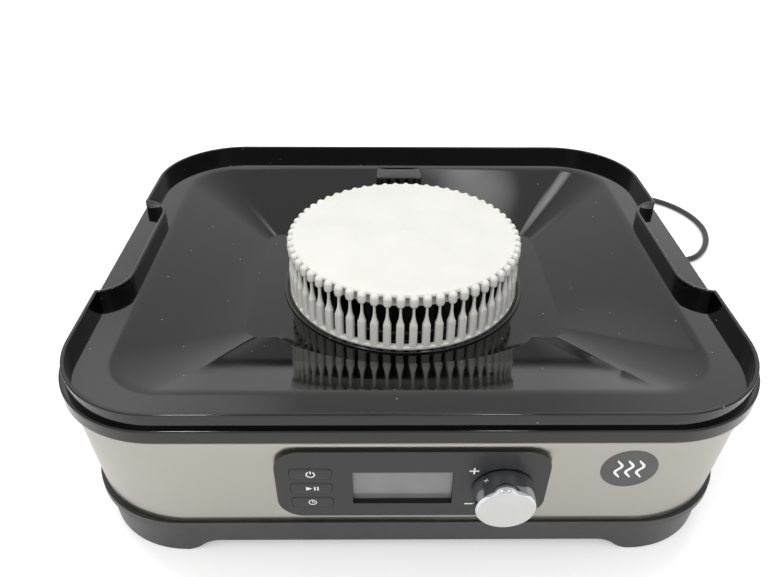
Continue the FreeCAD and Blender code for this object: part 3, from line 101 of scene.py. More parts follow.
def coordinates(tree, stretch=(1, 1, 1), source="Object"):
    """Surface coordinates times a stretch for each axis."""
    place = tree.nodes.new("ShaderNodeTexCoord")
    mapping = tree.nodes.new("ShaderNodeMapping")
    mapping.inputs["Scale"].default_value = stretch
    tree.links.new(place.outputs[source], mapping.inputs["Vector"])
    return mapping.outputs["Vector"]


def noise(tree, place, scale, detail=3.0):
    """Soft noise with about scale spots to the metre."""
    node = tree.nodes.new("ShaderNodeTexNoise")
    node.inputs["Scale"].default_value = scale
    node.inputs["Detail"].default_value = detail
    tree.links.new(place, node.inputs["Vector"])
    return node.outputs["Fac"]


def spread(tree, value, low, high, start=0.35, end=0.65):
    """The value's range from start to end, carried over to low and high and held there beyond it."""
    node = tree.nodes.new("ShaderNodeMapRange")
    for socket, number in zip(("From Min", "From Max", "To Min", "To Max"), (start, end, low, high)):
        node.inputs[socket].default_value = number
    tree.links.new(value, node.inputs["Value"])
    return node.outputs["Result"]


def calculate(tree, operation, first, second):
    """One sum on two values, each a node's output or a number."""
    node = tree.nodes.new("ShaderNodeMath")
    node.operation = operation
    for socket, value in zip(node.inputs, (first, second)):
        if isinstance(value, (int, float)):
            socket.default_value = value
        else:
            tree.links.new(value, socket)
    return node.outputs["Value"]


def tint(tree, share, low, high):
    """A colour between low and high by the share."""
    node = tree.nodes.new("ShaderNodeMix")
    node.data_type = "RGBA"
    node.inputs["A"].default_value = (*low, 1)
    node.inputs["B"].default_value = (*high, 1)
    tree.links.new(share, node.inputs["Factor"])
    return node.outputs["Result"]


def relief(tree, shader, height, depth):
    """Bumps of that depth in millimetres from a height between 0 and 1."""
    node = tree.nodes.new("ShaderNodeBump")
    node.inputs["Distance"].default_value = depth * MM
    tree.links.new(height, node.inputs["Height"])
    tree.links.new(node.outputs["Normal"], shader.inputs["Normal"])


# %% [markdown]
# ## One recipe for moulded plastic and cast metal
#
# Most pieces differ only in colour, gloss and grain, so one function makes them all. A slow cloud of noise
# moves the colour up and down by a small share, and a fast one gives the grain: it raises tiny bumps and
# varies the roughness with them, as the skin of a real mould does.

# %% Moulded finish
CLOUD_SCALE, ROUGH_DRIFT = 35, 0.15


def moulded(name, colour, roughness, grain=900, depth=0.01, drift=0.12, metal=0.0, coat=0.0):
    """A moulded or cast finish: the colour drifts by a share, and a fine grain gives bumps and roughness."""
    material, tree, shader = new_finish(name)
    place = coordinates(tree)
    cloud = noise(tree, place, CLOUD_SCALE)
    fine = noise(tree, place, grain, 2.0)
    pale = [min(value * (1 + drift), 1) for value in colour]
    dark = [value * (1 - drift) for value in colour]
    tree.links.new(tint(tree, spread(tree, cloud, 0, 1), dark, pale), shader.inputs["Base Color"])
    rough = spread(tree, fine, roughness * (1 - ROUGH_DRIFT), roughness * (1 + ROUGH_DRIFT))
    tree.links.new(rough, shader.inputs["Roughness"])
    relief(tree, shader, fine, depth)
    shader.inputs["Metallic"].default_value = metal
    shader.inputs["Coat Weight"].default_value = coat
    return material


base_satin = moulded("base_satin", (0.028, 0.028, 0.029), 0.4, grain=1400, depth=0.012)
panel_satin = moulded("panel_satin", (0.004, 0.004, 0.0045), 0.36, grain=1600, depth=0.006)
key_satin = moulded("key_satin", (0.008, 0.008, 0.0085), 0.42, grain=1600, depth=0.008)
cover_plastic = moulded("cover_plastic", (0.77, 0.766, 0.722), 0.38, grain=700, depth=0.006, drift=0.025)
print_white = moulded("print_white", (0.78, 0.78, 0.77), 0.5, grain=2500, depth=0.002, drift=0.05)
badge_ink = moulded("badge_ink", (0.05, 0.05, 0.052), 0.35, grain=2500, depth=0.002)
print("moulded finishes", [m.name for m in (base_satin, panel_satin, key_satin, cover_plastic)])

# %% [markdown]
# ## The deck's gloss
#
# The deck is polished black plastic. It looks grey in the picture because it mirrors the pale room, so its
# own colour stays almost black and the gloss does the rest. Handling leaves cloudy smudges, which are patches
# of slightly rougher surface, and a few specks of dust, which are the small round hearts of a cell pattern.
# A very shallow ripple, as every large moulding has, keeps the mirror image from being too perfect.

# %% Gloss black deck
DECK_COLOUR, DUST_COLOUR = (0.001, 0.00105, 0.0012), (0.26, 0.26, 0.255)
DECK_POLISHED, DECK_SMUDGED, DECK_IOR = 0.045, 0.11, 1.53
SMUDGE_SCALE, SMUDGE_START, SMUDGE_END = 14, 0.4, 0.7
RIPPLE_SCALE, RIPPLE_DEPTH = 22, 0.012
DUST_CELLS, DUST_HEART, DUST_RARITY = 140, 0.056, 0.72


def deck_finish():
    """Near black, mirror smooth; smudges raise the roughness, and dust specks lie in some of the cells."""
    material, tree, shader = new_finish("deck_gloss")
    place = coordinates(tree)
    smudge = noise(tree, place, SMUDGE_SCALE, 5.0)
    film = spread(tree, smudge, DECK_POLISHED, DECK_SMUDGED, SMUDGE_START, SMUDGE_END)
    cells = tree.nodes.new("ShaderNodeTexVoronoi")
    cells.inputs["Scale"].default_value = DUST_CELLS
    tree.links.new(place, cells.inputs["Vector"])
    chance = tree.nodes.new("ShaderNodeSeparateColor")
    tree.links.new(cells.outputs["Color"], chance.inputs["Color"])
    heart = calculate(tree, "LESS_THAN", cells.outputs["Distance"], DUST_HEART)
    chosen = calculate(tree, "GREATER_THAN", chance.outputs["Red"], DUST_RARITY)
    speck = calculate(tree, "MULTIPLY", heart, chosen)
    tree.links.new(tint(tree, speck, DECK_COLOUR, DUST_COLOUR), shader.inputs["Base Color"])
    tree.links.new(calculate(tree, "MAXIMUM", film, speck), shader.inputs["Roughness"])
    shader.inputs["IOR"].default_value = DECK_IOR
    relief(tree, shader, noise(tree, place, RIPPLE_SCALE, 1.0), RIPPLE_DEPTH)
    return material


deck_gloss = deck_finish()
print("deck finish", deck_gloss.name)

# %% [markdown]
# ## Brushed steel, plating and the display
#
# Brushing draws long scratches round the band. Noise that is stretched on the band's own UV map, long round
# the path and short across it, gives those scratches; a straight Object pattern would smear at the corners.
# Bright plating needs no pattern of its own: a smooth metal shows the panel in its side and the table in its
# face. The display is off, so it is a flat grey film under a clear window, and a clear coat does for that.

# %% Steel, chrome and display
STEEL_SCRATCH, STEEL_BRIGHT = (0.3435, 0.3338, 0.2965), (0.38, 0.37, 0.33)
BRUSH_STRETCH, SCRATCH_LEVEL, SCRATCH_DEPTH = (6, 1800, 1), 0.4167, 0.004
STEEL_PATCH, STEEL_SMOOTH, STEEL_DULL = 9, 0.30, 0.40
FILM_DARK, FILM_LIGHT, FILM_STRETCH = (0.12, 0.124, 0.121), (0.165, 0.17, 0.165), (60, 8, 8)


def brushed_finish():
    """Steel with noise 300 times longer round the band than across it, darker where that noise is low."""
    material, tree, shader = new_finish("band_brushed")
    streak = noise(tree, coordinates(tree, BRUSH_STRETCH, "UV"), 1, 4.0)
    patch = noise(tree, coordinates(tree), STEEL_PATCH)
    shade = spread(tree, streak, 0, 1, 0, SCRATCH_LEVEL)
    tree.links.new(tint(tree, shade, STEEL_SCRATCH, STEEL_BRIGHT), shader.inputs["Base Color"])
    tree.links.new(spread(tree, patch, STEEL_SMOOTH, STEEL_DULL), shader.inputs["Roughness"])
    shader.inputs["Metallic"].default_value = 1
    relief(tree, shader, streak, SCRATCH_DEPTH)
    return material


def display_finish():
    """A grey film, clouded by stretched noise, under a glossy coat."""
    material, tree, shader = new_finish("display_film")
    haze = noise(tree, coordinates(tree, FILM_STRETCH), 3)
    tree.links.new(tint(tree, haze, FILM_DARK, FILM_LIGHT), shader.inputs["Base Color"])
    shader.inputs["Roughness"].default_value = 0.3
    shader.inputs["Coat Weight"].default_value = 0.6
    shader.inputs["Coat Roughness"].default_value = 0.04
    return material


band_brushed = brushed_finish()
display_film = display_finish()
chrome_side = moulded("chrome_side", (0.62, 0.63, 0.66), 0.05, grain=60, depth=0.002, drift=0.03, metal=1)
chrome_face = moulded("chrome_face", (0.54, 0.54, 0.52), 0.16, grain=90, depth=0.004, drift=0.05, metal=1)
print("metals", [m.name for m in (band_brushed, chrome_side, chrome_face)])

# %% [markdown]
# ## Finishes of the cord and of the parts inside
#
# Most of the parts inside can only be glimpsed, but the model may be opened up, so each has the finish of
# its trade: varnished copper, stacked steel sheet, oiled brass, green solder mask and zinc plate. The copper
# winding alone is darkened well below its own colour, as painted shade for the dark inside of the casing.
# They are one kind of surface with other numbers, so a table of colours and a loop make them. The pieces
# that keep their CAD mesh, such as the base and the bezel, take their finish here by the name of their slot.

# %% Cord and inner finishes
INNER_FINISHES = {
    "pad_rubber": dict(colour=(0.03, 0.03, 0.03), roughness=0.75, grain=1200, depth=0.03),
    "cord_black": dict(colour=(0.022, 0.022, 0.023), roughness=0.42, grain=1500, depth=0.01),
    "tie_black": dict(colour=(0.02, 0.02, 0.02), roughness=0.5, grain=1500, depth=0.01),
    "pin_nickel": dict(colour=(0.62, 0.59, 0.52), roughness=0.22, metal=1, depth=0.004),
    "duct_black": dict(colour=(0.025, 0.025, 0.025), roughness=0.6, depth=0.02),
    "impeller_black": dict(colour=(0.008, 0.008, 0.008), roughness=0.35, depth=0.01),
    "zinc_steel": dict(colour=(0.5, 0.5, 0.47), roughness=0.35, metal=1, grain=500, depth=0.01),
    "lamination_steel": dict(colour=(0.22, 0.22, 0.23), roughness=0.5, metal=1, grain=1200, depth=0.03),
    "bush_brass": dict(colour=(0.6, 0.42, 0.17), roughness=0.38, metal=1, depth=0.02),
    # The winding is darkened well below varnished copper, as painted shade inside the casing.
    "winding_amber": dict(colour=(0.03, 0.013, 0.007), roughness=0.25, grain=1500, depth=0.05, coat=0.6),
    "heater_steel": dict(colour=(0.2, 0.18, 0.165), roughness=0.45, metal=1, grain=800, depth=0.02,
                         drift=0.3),
    "board_green": dict(colour=(0.02, 0.13, 0.05), roughness=0.3, grain=1200, depth=0.01),
    "relay_blue": dict(colour=(0.03, 0.09, 0.3), roughness=0.4, depth=0.01),
    "case_grey": dict(colour=(0.2, 0.2, 0.2), roughness=0.5, depth=0.02),
    "case_yellow": dict(colour=(0.6, 0.42, 0.06), roughness=0.4, depth=0.02),
    "switch_black": dict(colour=(0.02, 0.02, 0.02), roughness=0.5, depth=0.01),
}
finishes = {slot: moulded(slot, **numbers) for slot, numbers in INNER_FINISHES.items()}
finishes["base_black"] = base_satin
finishes["panel_grey"] = panel_satin
finishes["display_grey"] = display_film
finishes["lens_clear"] = display_film


def dress_node(node):
    """Gives a CAD node the finish of the slot that it was packed with."""
    for place in nodes[node].material_slots:
        slot = place.material.name.split(".")[0]
        if slot in finishes:
            place.material = finishes[slot]


for node_name in nodes:
    dress_node(node_name)
print("finishes for the CAD nodes", len(finishes))

# %% [markdown]
# ## Surfaces from grids
#
# Every new piece below is a grid of points: rows that follow a profile, and columns that go round a path.
# A grid whose rows and columns both close is a sealed skin, and a row that shrinks to one point closes a cap.
# One function turns such grids into a mesh, merges the points that fall together, points the faces outwards
# and marks the edges that are sharp by angle, so that flats stay flat in a reflection.

# %% Grid helpers
MERGE_DISTANCE, THIN_EDGE = 2e-6, 1e-6


def squares(rows, columns, wrap_rows, wrap_columns):
    """Corner numbers of a grid's squares: a point, the next in its row, and the same two of the next row."""
    row = np.arange(rows if wrap_rows else rows - 1)[:, None]
    column = np.arange(columns if wrap_columns else columns - 1)[None, :]
    here, below = row * columns, (row + 1) % rows * columns
    beside = (column + 1) % columns
    corners = (here + column, here + beside, below + beside, below + column)
    return np.stack(corners, axis=-1).reshape(-1, 4)


def seal(mesh):
    """Merges points that fall together, drops faces of no size and points the rest outwards."""
    sealed = bmesh.new()
    sealed.from_mesh(mesh)
    bmesh.ops.remove_doubles(sealed, verts=sealed.verts, dist=MERGE_DISTANCE)
    bmesh.ops.dissolve_degenerate(sealed, dist=THIN_EDGE, edges=sealed.edges)
    bmesh.ops.recalc_face_normals(sealed, faces=sealed.faces)
    sealed.to_mesh(mesh)
    sealed.free()


def make_piece(name, grids, materials, body, stands_for=(), sharp=32.0, second=None):
    """Joins grids of millimetre points, each with its two wraps, into one sealed mesh that rides on a body.

    second, if given, says for each square of the first grid whether it takes the second material."""
    points, faces, start = [], [], 0
    for grid, wrap_rows, wrap_columns in grids:
        rows, columns = grid.shape[:2]
        faces.append(squares(rows, columns, wrap_rows, wrap_columns) + start)
        points.append(grid.reshape(-1, 3))
        start += rows * columns
    points, faces = np.concatenate(points) * MM, np.concatenate(faces)
    mesh = bpy.data.meshes.new(name)
    mesh.from_pydata(points.tolist(), [], faces.tolist())
    for material in materials:
        mesh.materials.append(material)
    if second is not None:
        choice = np.zeros(len(faces), dtype=np.int32)
        choice[: second.size] = second.ravel()
        mesh.polygons.foreach_set("material_index", choice)
    seal(mesh)
    mesh.shade_smooth()
    mesh.set_sharp_from_angle(angle=np.radians(sharp))
    piece = add_object(name, mesh)
    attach(piece, body)
    if stands_for:
        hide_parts(*stands_for)
    print(name, "has", len(mesh.polygons), "faces")
    return piece


def lathe(profile, steps):
    """A profile of (radius, height) turned about the Z axis: rows follow the profile, columns the turn."""
    radius, height = np.array(profile, dtype=float).T
    turn = np.linspace(0, 2 * np.pi, steps, endpoint=False)
    flat = np.stack([np.cos(turn), np.sin(turn)], axis=-1)
    grid = np.empty((len(radius), steps, 3))
    grid[..., :2] = radius[:, None, None] * flat
    grid[..., 2] = height[:, None]
    return grid


def ellipse_loop(half_x, half_y, power, steps):
    """A rounded outline: half sizes times cosine and sine, each raised to a power below 1 to square it."""
    turn = np.linspace(0, 2 * np.pi, steps, endpoint=False)
    cosine, sine = np.cos(turn), np.sin(turn)
    x = half_x * np.sign(cosine) * np.abs(cosine) ** power
    y = half_y * np.sign(sine) * np.abs(sine) ** power
    return np.stack([x, y], axis=-1)


print("grid helpers ready")

# %% [markdown]
# ## The mains cord
#
# The lead leaves the back on the right through a bushing, drops to the table, shows one loop beside the
# casing and runs round behind it, where the rest of its length is coiled and tied. A cord could be a mesh
# tube, but a NURBS curve with the route's own points bends as smoothly as the real thing and keeps its
# thickness everywhere. The loose part is a list of given points, and the coil is a formula.

# %% Cord route
CORD_DIAMETER = 5.0
CORD_ROUTE = [
    (115, 172.6, 16), (115, 190.6, 16), (117.5, 212, 9.5), (129, 233, 2.6), (156, 240, 2.6), (181, 222, 2.6),
    (201, 192, 2.6), (216, 160, 2.6), (234, 144, 2.6), (258, 146, 2.6), (274, 163, 2.6), (285, 186, 2.6),
    (288, 210, 2.6), (281, 236, 2.6), (264, 258, 2.6), (238, 268, 2.6), (204, 263, 2.6), (168, 256, 2.6),
    (131, 261, 2.6), (97, 268, 4.3), (65, 268, 4.3),
]
CORD_TAIL = [(44, 265.7, 9.9), (20, 266.2, 7.1), (15, 266.2, 7.1)]
COIL_CENTRE = (60, 235)
COIL_OUTER, COIL_PITCH, COIL_LEVEL = 33, 5.6, 4.3
COIL_TURNS, COIL_REVERSAL, COIL_CLIMB_START, COIL_CLIMB_TURNS = 4.0, 2.25, 2.0, 0.5
COIL_POINTS_PER_TURN = 16


def coil_points():
    """A flat spiral inwards, half a turn that climbs one pitch, and a spiral outwards on top of it."""
    turns = np.arange(1, COIL_TURNS * COIL_POINTS_PER_TURN + 1) / COIL_POINTS_PER_TURN
    radius = COIL_OUTER - COIL_PITCH * (COIL_REVERSAL - np.abs(turns - COIL_REVERSAL))
    radius = radius / np.cos(np.pi / COIL_POINTS_PER_TURN)
    angle = 2 * np.pi * turns + np.pi / 2
    climb = np.clip((turns - COIL_CLIMB_START) / COIL_CLIMB_TURNS, 0, 1)
    height = COIL_LEVEL + COIL_PITCH * (1 - np.cos(np.pi * climb)) / 2
    x = COIL_CENTRE[0] + radius * np.cos(angle)
    y = COIL_CENTRE[1] + radius * np.sin(angle)
    return np.stack([x, y, height], axis=-1)


cord_points = np.concatenate([CORD_ROUTE, coil_points(), CORD_TAIL]) * MM
cord_curve = bpy.data.curves.new("mains_cord", "CURVE")
cord_curve.dimensions = "3D"
cord_curve.resolution_u = 8
cord_curve.bevel_depth = CORD_DIAMETER / 2 * MM
cord_curve.bevel_resolution = 5
cord_curve.use_fill_caps = True
cord_curve.materials.append(finishes["cord_black"])
spline = cord_curve.splines.new("NURBS")
spline.points.add(len(cord_points) - 1)
spline.points.foreach_set("co", np.column_stack([cord_points, np.ones(len(cord_points))]).ravel())
spline.order_u = 3
spline.use_endpoint_u = True
mains_cord = add_object("mains_cord", cord_curve)
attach(mains_cord, "housing")
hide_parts("power_cord", "cord_coil")
print("cord points", len(cord_points))

# %% [markdown]
# ### The bushing
#
# A strain relief tapers and has grooves, so that the lead bends in a wide curve instead of at the wall. It
# could be cut ring by ring, but its radius is a simple sum, a straight taper less a cosine, so one profile
# turned about the cord's axis gives it whole.

# %% Bushing
BUSHING_START, BUSHING_TIP, BUSHING_WIDE, BUSHING_THIN = 146.6, 172.6, 4.9, 3.3
GROOVES, GROOVE_DEPTH, GROOVED_FROM, GROOVED_SHARE = 5, 0.45, 0.25, 0.7


def bushing_grid():
    """Radius along the cord: a taper from wide to thin with grooves cut by a cosine, turned about Y."""
    along = np.linspace(0, 1, 61)
    grooved = np.clip((along - GROOVED_FROM) / GROOVED_SHARE, 0, 1)
    groove = GROOVE_DEPTH * (1 - np.cos(2 * np.pi * GROOVES * grooved)) / 2
    radius = BUSHING_WIDE + (BUSHING_THIN - BUSHING_WIDE) * along - groove
    place = BUSHING_START + (BUSHING_TIP - BUSHING_START) * along
    turned = lathe([(0, place[0]), *zip(radius, place), (0, place[-1])], 32)
    cord_x, _, cord_z = CORD_ROUTE[0]
    return np.stack([cord_x + turned[..., 0], turned[..., 2], cord_z + turned[..., 1]], axis=-1)


make_piece("strain_relief", [(bushing_grid(), False, True)], [finishes["cord_black"]], "housing",
           ["cord_bushing"])

# %% [markdown]
# ### The plug
#
# The plug is a soft moulded body that narrows to the cord. Its section changes from a small circle to a flat
# rounded one, so it is a stack of outlines along its length whose half sizes grow by a smooth step. The two
# round pins are turned like the bushing.

# %% Plug and pins
PLUG_ENTRY = np.array(CORD_TAIL[-1])
PLUG_NECK, PLUG_BODY, PLUG_WIDE, PLUG_THICK = 10.0, 35.0, 27.0, 13.8
PLUG_LENGTH = PLUG_NECK + PLUG_BODY
NECK_RADIUS, PLUG_SQUARENESS, PLUG_POINTS = 3.6, 0.72, 40
SWELL_START, SWELL_LENGTH = 6.0, 14.0
SOFT_START, SOFT_REACH, SOFT_SHARE = 41.5, 3.9, 0.12
PIN_RADIUS, PIN_LENGTH, PIN_SPREAD = 2.0, 19.0, 19.0
PIN_DOME = [(1, 1.4), (0.8, 0.5), (0.45, 0), (0, 0)]


def plug_grid():
    """Outlines along the plug: the neck swells by a smooth step into the body, whose end is softened."""
    neck = np.linspace(0.5, PLUG_NECK, 8)
    body = np.linspace(PLUG_NECK + 2, PLUG_LENGTH - 4, 12)
    along = np.concatenate([[0, 0], neck, body, PLUG_LENGTH - np.array([2, 0.6, 0, 0])])
    share = np.clip((along - SWELL_START) / SWELL_LENGTH, 0, 1)
    swell = share * share * (3 - 2 * share)
    past = np.clip((along - SOFT_START) / SOFT_REACH, 0, 1)
    soft = 1 - SOFT_SHARE * (1 - np.sqrt(1 - past**2))
    half_y = (NECK_RADIUS + (PLUG_WIDE / 2 - NECK_RADIUS) * swell) * soft
    half_z = (NECK_RADIUS + (PLUG_THICK / 2 - NECK_RADIUS) * swell) * soft
    half_y[[0, -1]] = half_z[[0, -1]] = 0
    loop = ellipse_loop(1, 1, PLUG_SQUARENESS, PLUG_POINTS)
    x = np.repeat(PLUG_ENTRY[0] - along[:, None], PLUG_POINTS, axis=1)
    y = PLUG_ENTRY[1] + half_y[:, None] * loop[:, 0]
    z = PLUG_ENTRY[2] + half_z[:, None] * loop[:, 1]
    return np.stack([x, y, z], axis=-1)


def pin_grid(side):
    """A round pin with a domed tip, turned about its length."""
    dome = [(PIN_RADIUS * share, PIN_LENGTH - back) for share, back in PIN_DOME]
    turned = lathe([(0, 0), (PIN_RADIUS, 0), *dome], 24)
    x = PLUG_ENTRY[0] - PLUG_LENGTH - turned[..., 2]
    y = PLUG_ENTRY[1] + side * PIN_SPREAD / 2 + turned[..., 0]
    return np.stack([x, y, PLUG_ENTRY[2] + turned[..., 1]], axis=-1)


plug_shell = make_piece("plug_moulding", [(plug_grid(), False, True)], [finishes["cord_black"]], "housing",
                        ["plug_body"])
pins = make_piece("plug_contact_pins", [(pin_grid(side), False, True) for side in (-1, 1)],
                  [finishes["pin_nickel"]], "housing", ["plug_pins"])

# %% [markdown]
# ### The tie
#
# A flat strap holds the turns of the coil together. Its path is a squared ellipse that stands upright across
# the turns, and its section has four corners, so four copies of the path, two wide and two narrow, make it.
# The CAD model gives its place and size.

# %% Tie round the coil
TIE_WIDTH, TIE_THICK, TIE_SQUARENESS, TIE_ANGLE = 6.0, 1.0, 0.55, np.radians(-20)
tie_low, tie_high = (np.array(corner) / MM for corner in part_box("cord_tie"))


def tie_grid():
    """A strap: the outline of its path round the turns, with a flat section carried along it."""
    half_z = (tie_high[2] - tie_low[2]) / 2
    reach = (tie_high[0] - tie_low[0] - TIE_WIDTH * abs(np.sin(TIE_ANGLE))) / (2 * np.cos(TIE_ANGLE))
    outer = ellipse_loop(reach, half_z, TIE_SQUARENESS, 64)
    inner = ellipse_loop(reach - TIE_THICK, half_z - TIE_THICK, TIE_SQUARENESS, 64)
    radial = np.array([np.cos(TIE_ANGLE), np.sin(TIE_ANGLE)])
    across = np.array([-np.sin(TIE_ANGLE), np.cos(TIE_ANGLE)]) * TIE_WIDTH / 2
    middle = (tie_low + tie_high) / 2
    return np.stack([
        np.column_stack([middle[:2] + loop[:, :1] * radial + side * across, middle[2] + loop[:, 1]])
        for loop, side in ((outer, -1), (outer, 1), (inner, 1), (inner, -1))
    ])


tie = make_piece("cord_strap", [(tie_grid(), True, True)], [finishes["tie_black"]], "housing",
                 ["cord_tie"])

# %% [markdown]
# ## The funnel deck
#
# The deck is one moulding: a skirt that hides the top of the steel, a ledge for the first tray, a rim with a
# bay on each side for the fingers, a flat border, four slopes and a recess for the fan. Cutting it from
# blocks would leave seams in the gloss, so it is a single skin of rings. All rings have the same number of
# points in the same order, and each ring is one outline at one height, so neighbours join point to point.
# The bays come first, because they set where the points of every other ring lie.

# %% Grip bays
RIM_X, RIM_Y, RIM_CORNER, RIM_WALL, RIM_CROWN = 175.0, 152.3, 56.0, 2.0, 0.45
GRIP_FRONT, GRIP_BACK, GRIP_DEPTH, GRIP_CORNER = -52.0, 57.0, 15.6, 18.0
GRIP_MOUTH, GRIP_STRAIGHT, SHARP_MOUTH = 0.8, 1.0, 0.001
MOUTH_POINTS, SHORT_POINTS, BEND_POINTS, WALL_POINTS = 4, 3, 11, 16


def arc(centre_x, centre_y, radius, start, end, count):
    """Points on a circle from a start to an end angle in degrees."""
    turn = np.radians(np.linspace(start, end, count))
    return np.stack([centre_x + radius * np.cos(turn), centre_y + radius * np.sin(turn)], axis=-1)


def line(start, end, count):
    """Even points on a straight line."""
    return np.linspace(start, end, count)


def grip_bay(inset):
    """The right bay, front to back: mouth, short side, bend, wall, and the same again in mirror order.

    The bend is a quarter circle, cut short where it would reach past the mouth."""
    edge = RIM_X - inset
    mouth = max(GRIP_MOUTH - inset, SHARP_MOUTH)
    bend_x = RIM_X - GRIP_DEPTH + GRIP_CORNER
    reach = GRIP_CORNER + inset
    stop = min(bend_x, edge - mouth - GRIP_STRAIGHT)
    turn = np.degrees(np.arccos((stop - bend_x) / reach))
    drop = reach * np.sin(np.radians(turn))
    near, far = GRIP_FRONT + GRIP_CORNER, GRIP_BACK - GRIP_CORNER
    front, back = near - drop, far + drop
    return np.concatenate([
        arc(edge - mouth, front - mouth, mouth, 0, 90, MOUTH_POINTS),
        line((edge - mouth, front), (stop, front), SHORT_POINTS + 2)[1:-1],
        arc(bend_x, near, reach, -turn, -180, BEND_POINTS),
        line((bend_x - reach, near), (bend_x - reach, far), WALL_POINTS + 2)[1:-1],
        arc(bend_x, far, reach, 180, turn, BEND_POINTS),
        line((stop, back), (edge - mouth, back), SHORT_POINTS + 2)[1:-1],
        arc(edge - mouth, back + mouth, mouth, -90, 0, MOUTH_POINTS),
    ])


print("points in a grip bay", len(grip_bay(0)))

# %% [markdown]
# ### Outlines
#
# Skirt, rim, border and well are all rounded rectangles, so one function draws them: four corner arcs, a long
# line at the front and at the back, and sides that follow the points they are given. For the rim those are
# the bay, for the others a straight line with points at the same places.

# %% Deck outlines
LEDGE_OUT, SKIRT_CORNER = 2.4, 58.0
STRAIGHT_POINTS, CORNER_POINTS, LONG_POINTS = 10, 22, 49


def outline(half_x, front, back, corner, middle):
    """A rounded rectangle, anticlockwise from the front of its right side, whose side follows middle."""
    lower = line((half_x, front + corner), middle[0], STRAIGHT_POINTS + 1)[:-1]
    upper = line(middle[-1], (half_x, back - corner), STRAIGHT_POINTS + 1)[1:]
    right = np.concatenate([lower, middle, upper])
    left = right[::-1] * (-1, 1)
    bend = CORNER_POINTS + 2
    flat = half_x - corner
    return np.concatenate([
        right,
        arc(flat, back - corner, corner, 0, 90, bend)[1:-1],
        line((flat, back), (-flat, back), LONG_POINTS),
        arc(-flat, back - corner, corner, 90, 180, bend)[1:-1],
        left,
        arc(-flat, front + corner, corner, 180, 270, bend)[1:-1],
        line((-flat, front), (flat, front), LONG_POINTS),
        arc(flat, front + corner, corner, 270, 360, bend)[1:-1],
    ])


def rim_loop(inset):
    """The rim with both bays, moved inwards by the inset."""
    return outline(RIM_X - inset, inset - RIM_Y, RIM_Y - inset, RIM_CORNER - inset, grip_bay(inset))


def plain_loop(half_x, front, back, corner, side_y):
    """An outline without bays whose side has points at the given places from front to back."""
    return outline(half_x, front, back, corner, np.column_stack([np.full(len(side_y), half_x), side_y]))


def skirt_loop(inset):
    """The skirt, a ledge's width outside the rim, moved inwards by the inset."""
    half_x, half_y = RIM_X + LEDGE_OUT - inset, RIM_Y + LEDGE_OUT - inset
    return plain_loop(half_x, -half_y, half_y, SKIRT_CORNER - inset, grip_bay(0)[:, 1])


print("points in a deck ring", len(rim_loop(0)))

# %% [markdown]
# ### Skirt, ledge and rim
#
# These rings climb the skirt, step in over the ledge, climb the rim, cross its softly crowned top and come
# down inside to the border. Small steps round the edges, because a glossy edge shows as a bright line only if
# it has some width. Beside each edge lies a support ring that keeps the flats next to it flat.

# %% Rim rings
SKIRT_FOOT, LEDGE, RIM_TOP, BORDER = 88.4, 96.0, 104.0, 96.0
SUPPORT, CROWN_POINTS = 0.4, 15
FOOT_EDGE = [(0.5, 0), (0.12, 0.15), (0, 0.5), (0, 0.5 + SUPPORT)]
LEDGE_EDGE = [(0, 0.9 + SUPPORT), (0, 0.9), (0.15, 0.35), (0.4, 0.1), (0.9, 0), (0.9 + SUPPORT, 0)]


def level(flat, height):
    """Flat points at a height, which is one number or one for each point."""
    return np.column_stack([flat, np.broadcast_to(height, len(flat))])


def rim_rings():
    """Outlines from the skirt's foot to the border. The crown is half an ellipse across the rim's wall."""
    skirt = [(inset, SKIRT_FOOT + rise) for inset, rise in FOOT_EDGE]
    skirt += [(inset, LEDGE - drop) for inset, drop in LEDGE_EDGE]
    across = np.linspace(0, np.pi, CROWN_POINTS)
    crown = zip(RIM_WALL / 2 * (1 - np.cos(across)), RIM_TOP - RIM_CROWN * (1 - np.sin(across)))
    under_crown = RIM_TOP - RIM_CROWN - SUPPORT
    rim = [(0, LEDGE), (0, under_crown), *crown, (RIM_WALL, under_crown)]
    rim += [(RIM_WALL, BORDER + SUPPORT), (RIM_WALL, BORDER), (RIM_WALL + SUPPORT, BORDER)]
    rings = [level(skirt_loop(inset), height) for inset, height in skirt]
    return rings + [level(rim_loop(inset), height) for inset, height in rim]


print("rings of skirt and rim", len(rim_rings()))

# %% [markdown]
# ### The slopes
#
# Each slope runs in a straight line from the border's edge to the well's edge, so a point on it is a share of
# the way between two matching points. The recess is an oval, a little longer from front to back, and cuts
# these lines where they come inside it. In units of the oval's half sizes that is a circle of radius 1 about
# the fan's axis, so a quadratic equation gives the share, solved for all columns at once.

# %% Slope rings
AXIS, WELL = np.array([0.0, 6.5]), 72.0
EDGE_X, EDGE_FRONT, EDGE_BACK, EDGE_CORNER = 152.2, -127.7, 128.7, 30.0
WELL_X, WELL_Y, WELL_CORNER = 94.0, 60.0, 9.0
RECESS = np.array([93.9, 99.5])
SHOULDER_WIDTH, SHOULDER_SINK = 2.2, 0.2
SLOPE_SHARES = (0.035, 0.045, 0.14, 0.27, 0.4, 0.53, 0.66, 0.79, 0.9, 0.97, 0.994)
side_places = grip_bay(RIM_WALL)[:, 1]


def edge_loop(out):
    """The border's inner edge, moved outwards."""
    return plain_loop(EDGE_X + out, EDGE_FRONT - out, EDGE_BACK + out, EDGE_CORNER + out, side_places)


def well_loop():
    """The well's edge, whose side points lie at the same shares of the straight as on the border's edge."""
    front, back = AXIS[1] - WELL_Y, AXIS[1] + WELL_Y
    edge_straight = (EDGE_FRONT + EDGE_CORNER, EDGE_BACK - EDGE_CORNER)
    well_straight = (front + WELL_CORNER, back - WELL_CORNER)
    return plain_loop(WELL_X, front, back, WELL_CORNER, np.interp(side_places, edge_straight, well_straight))


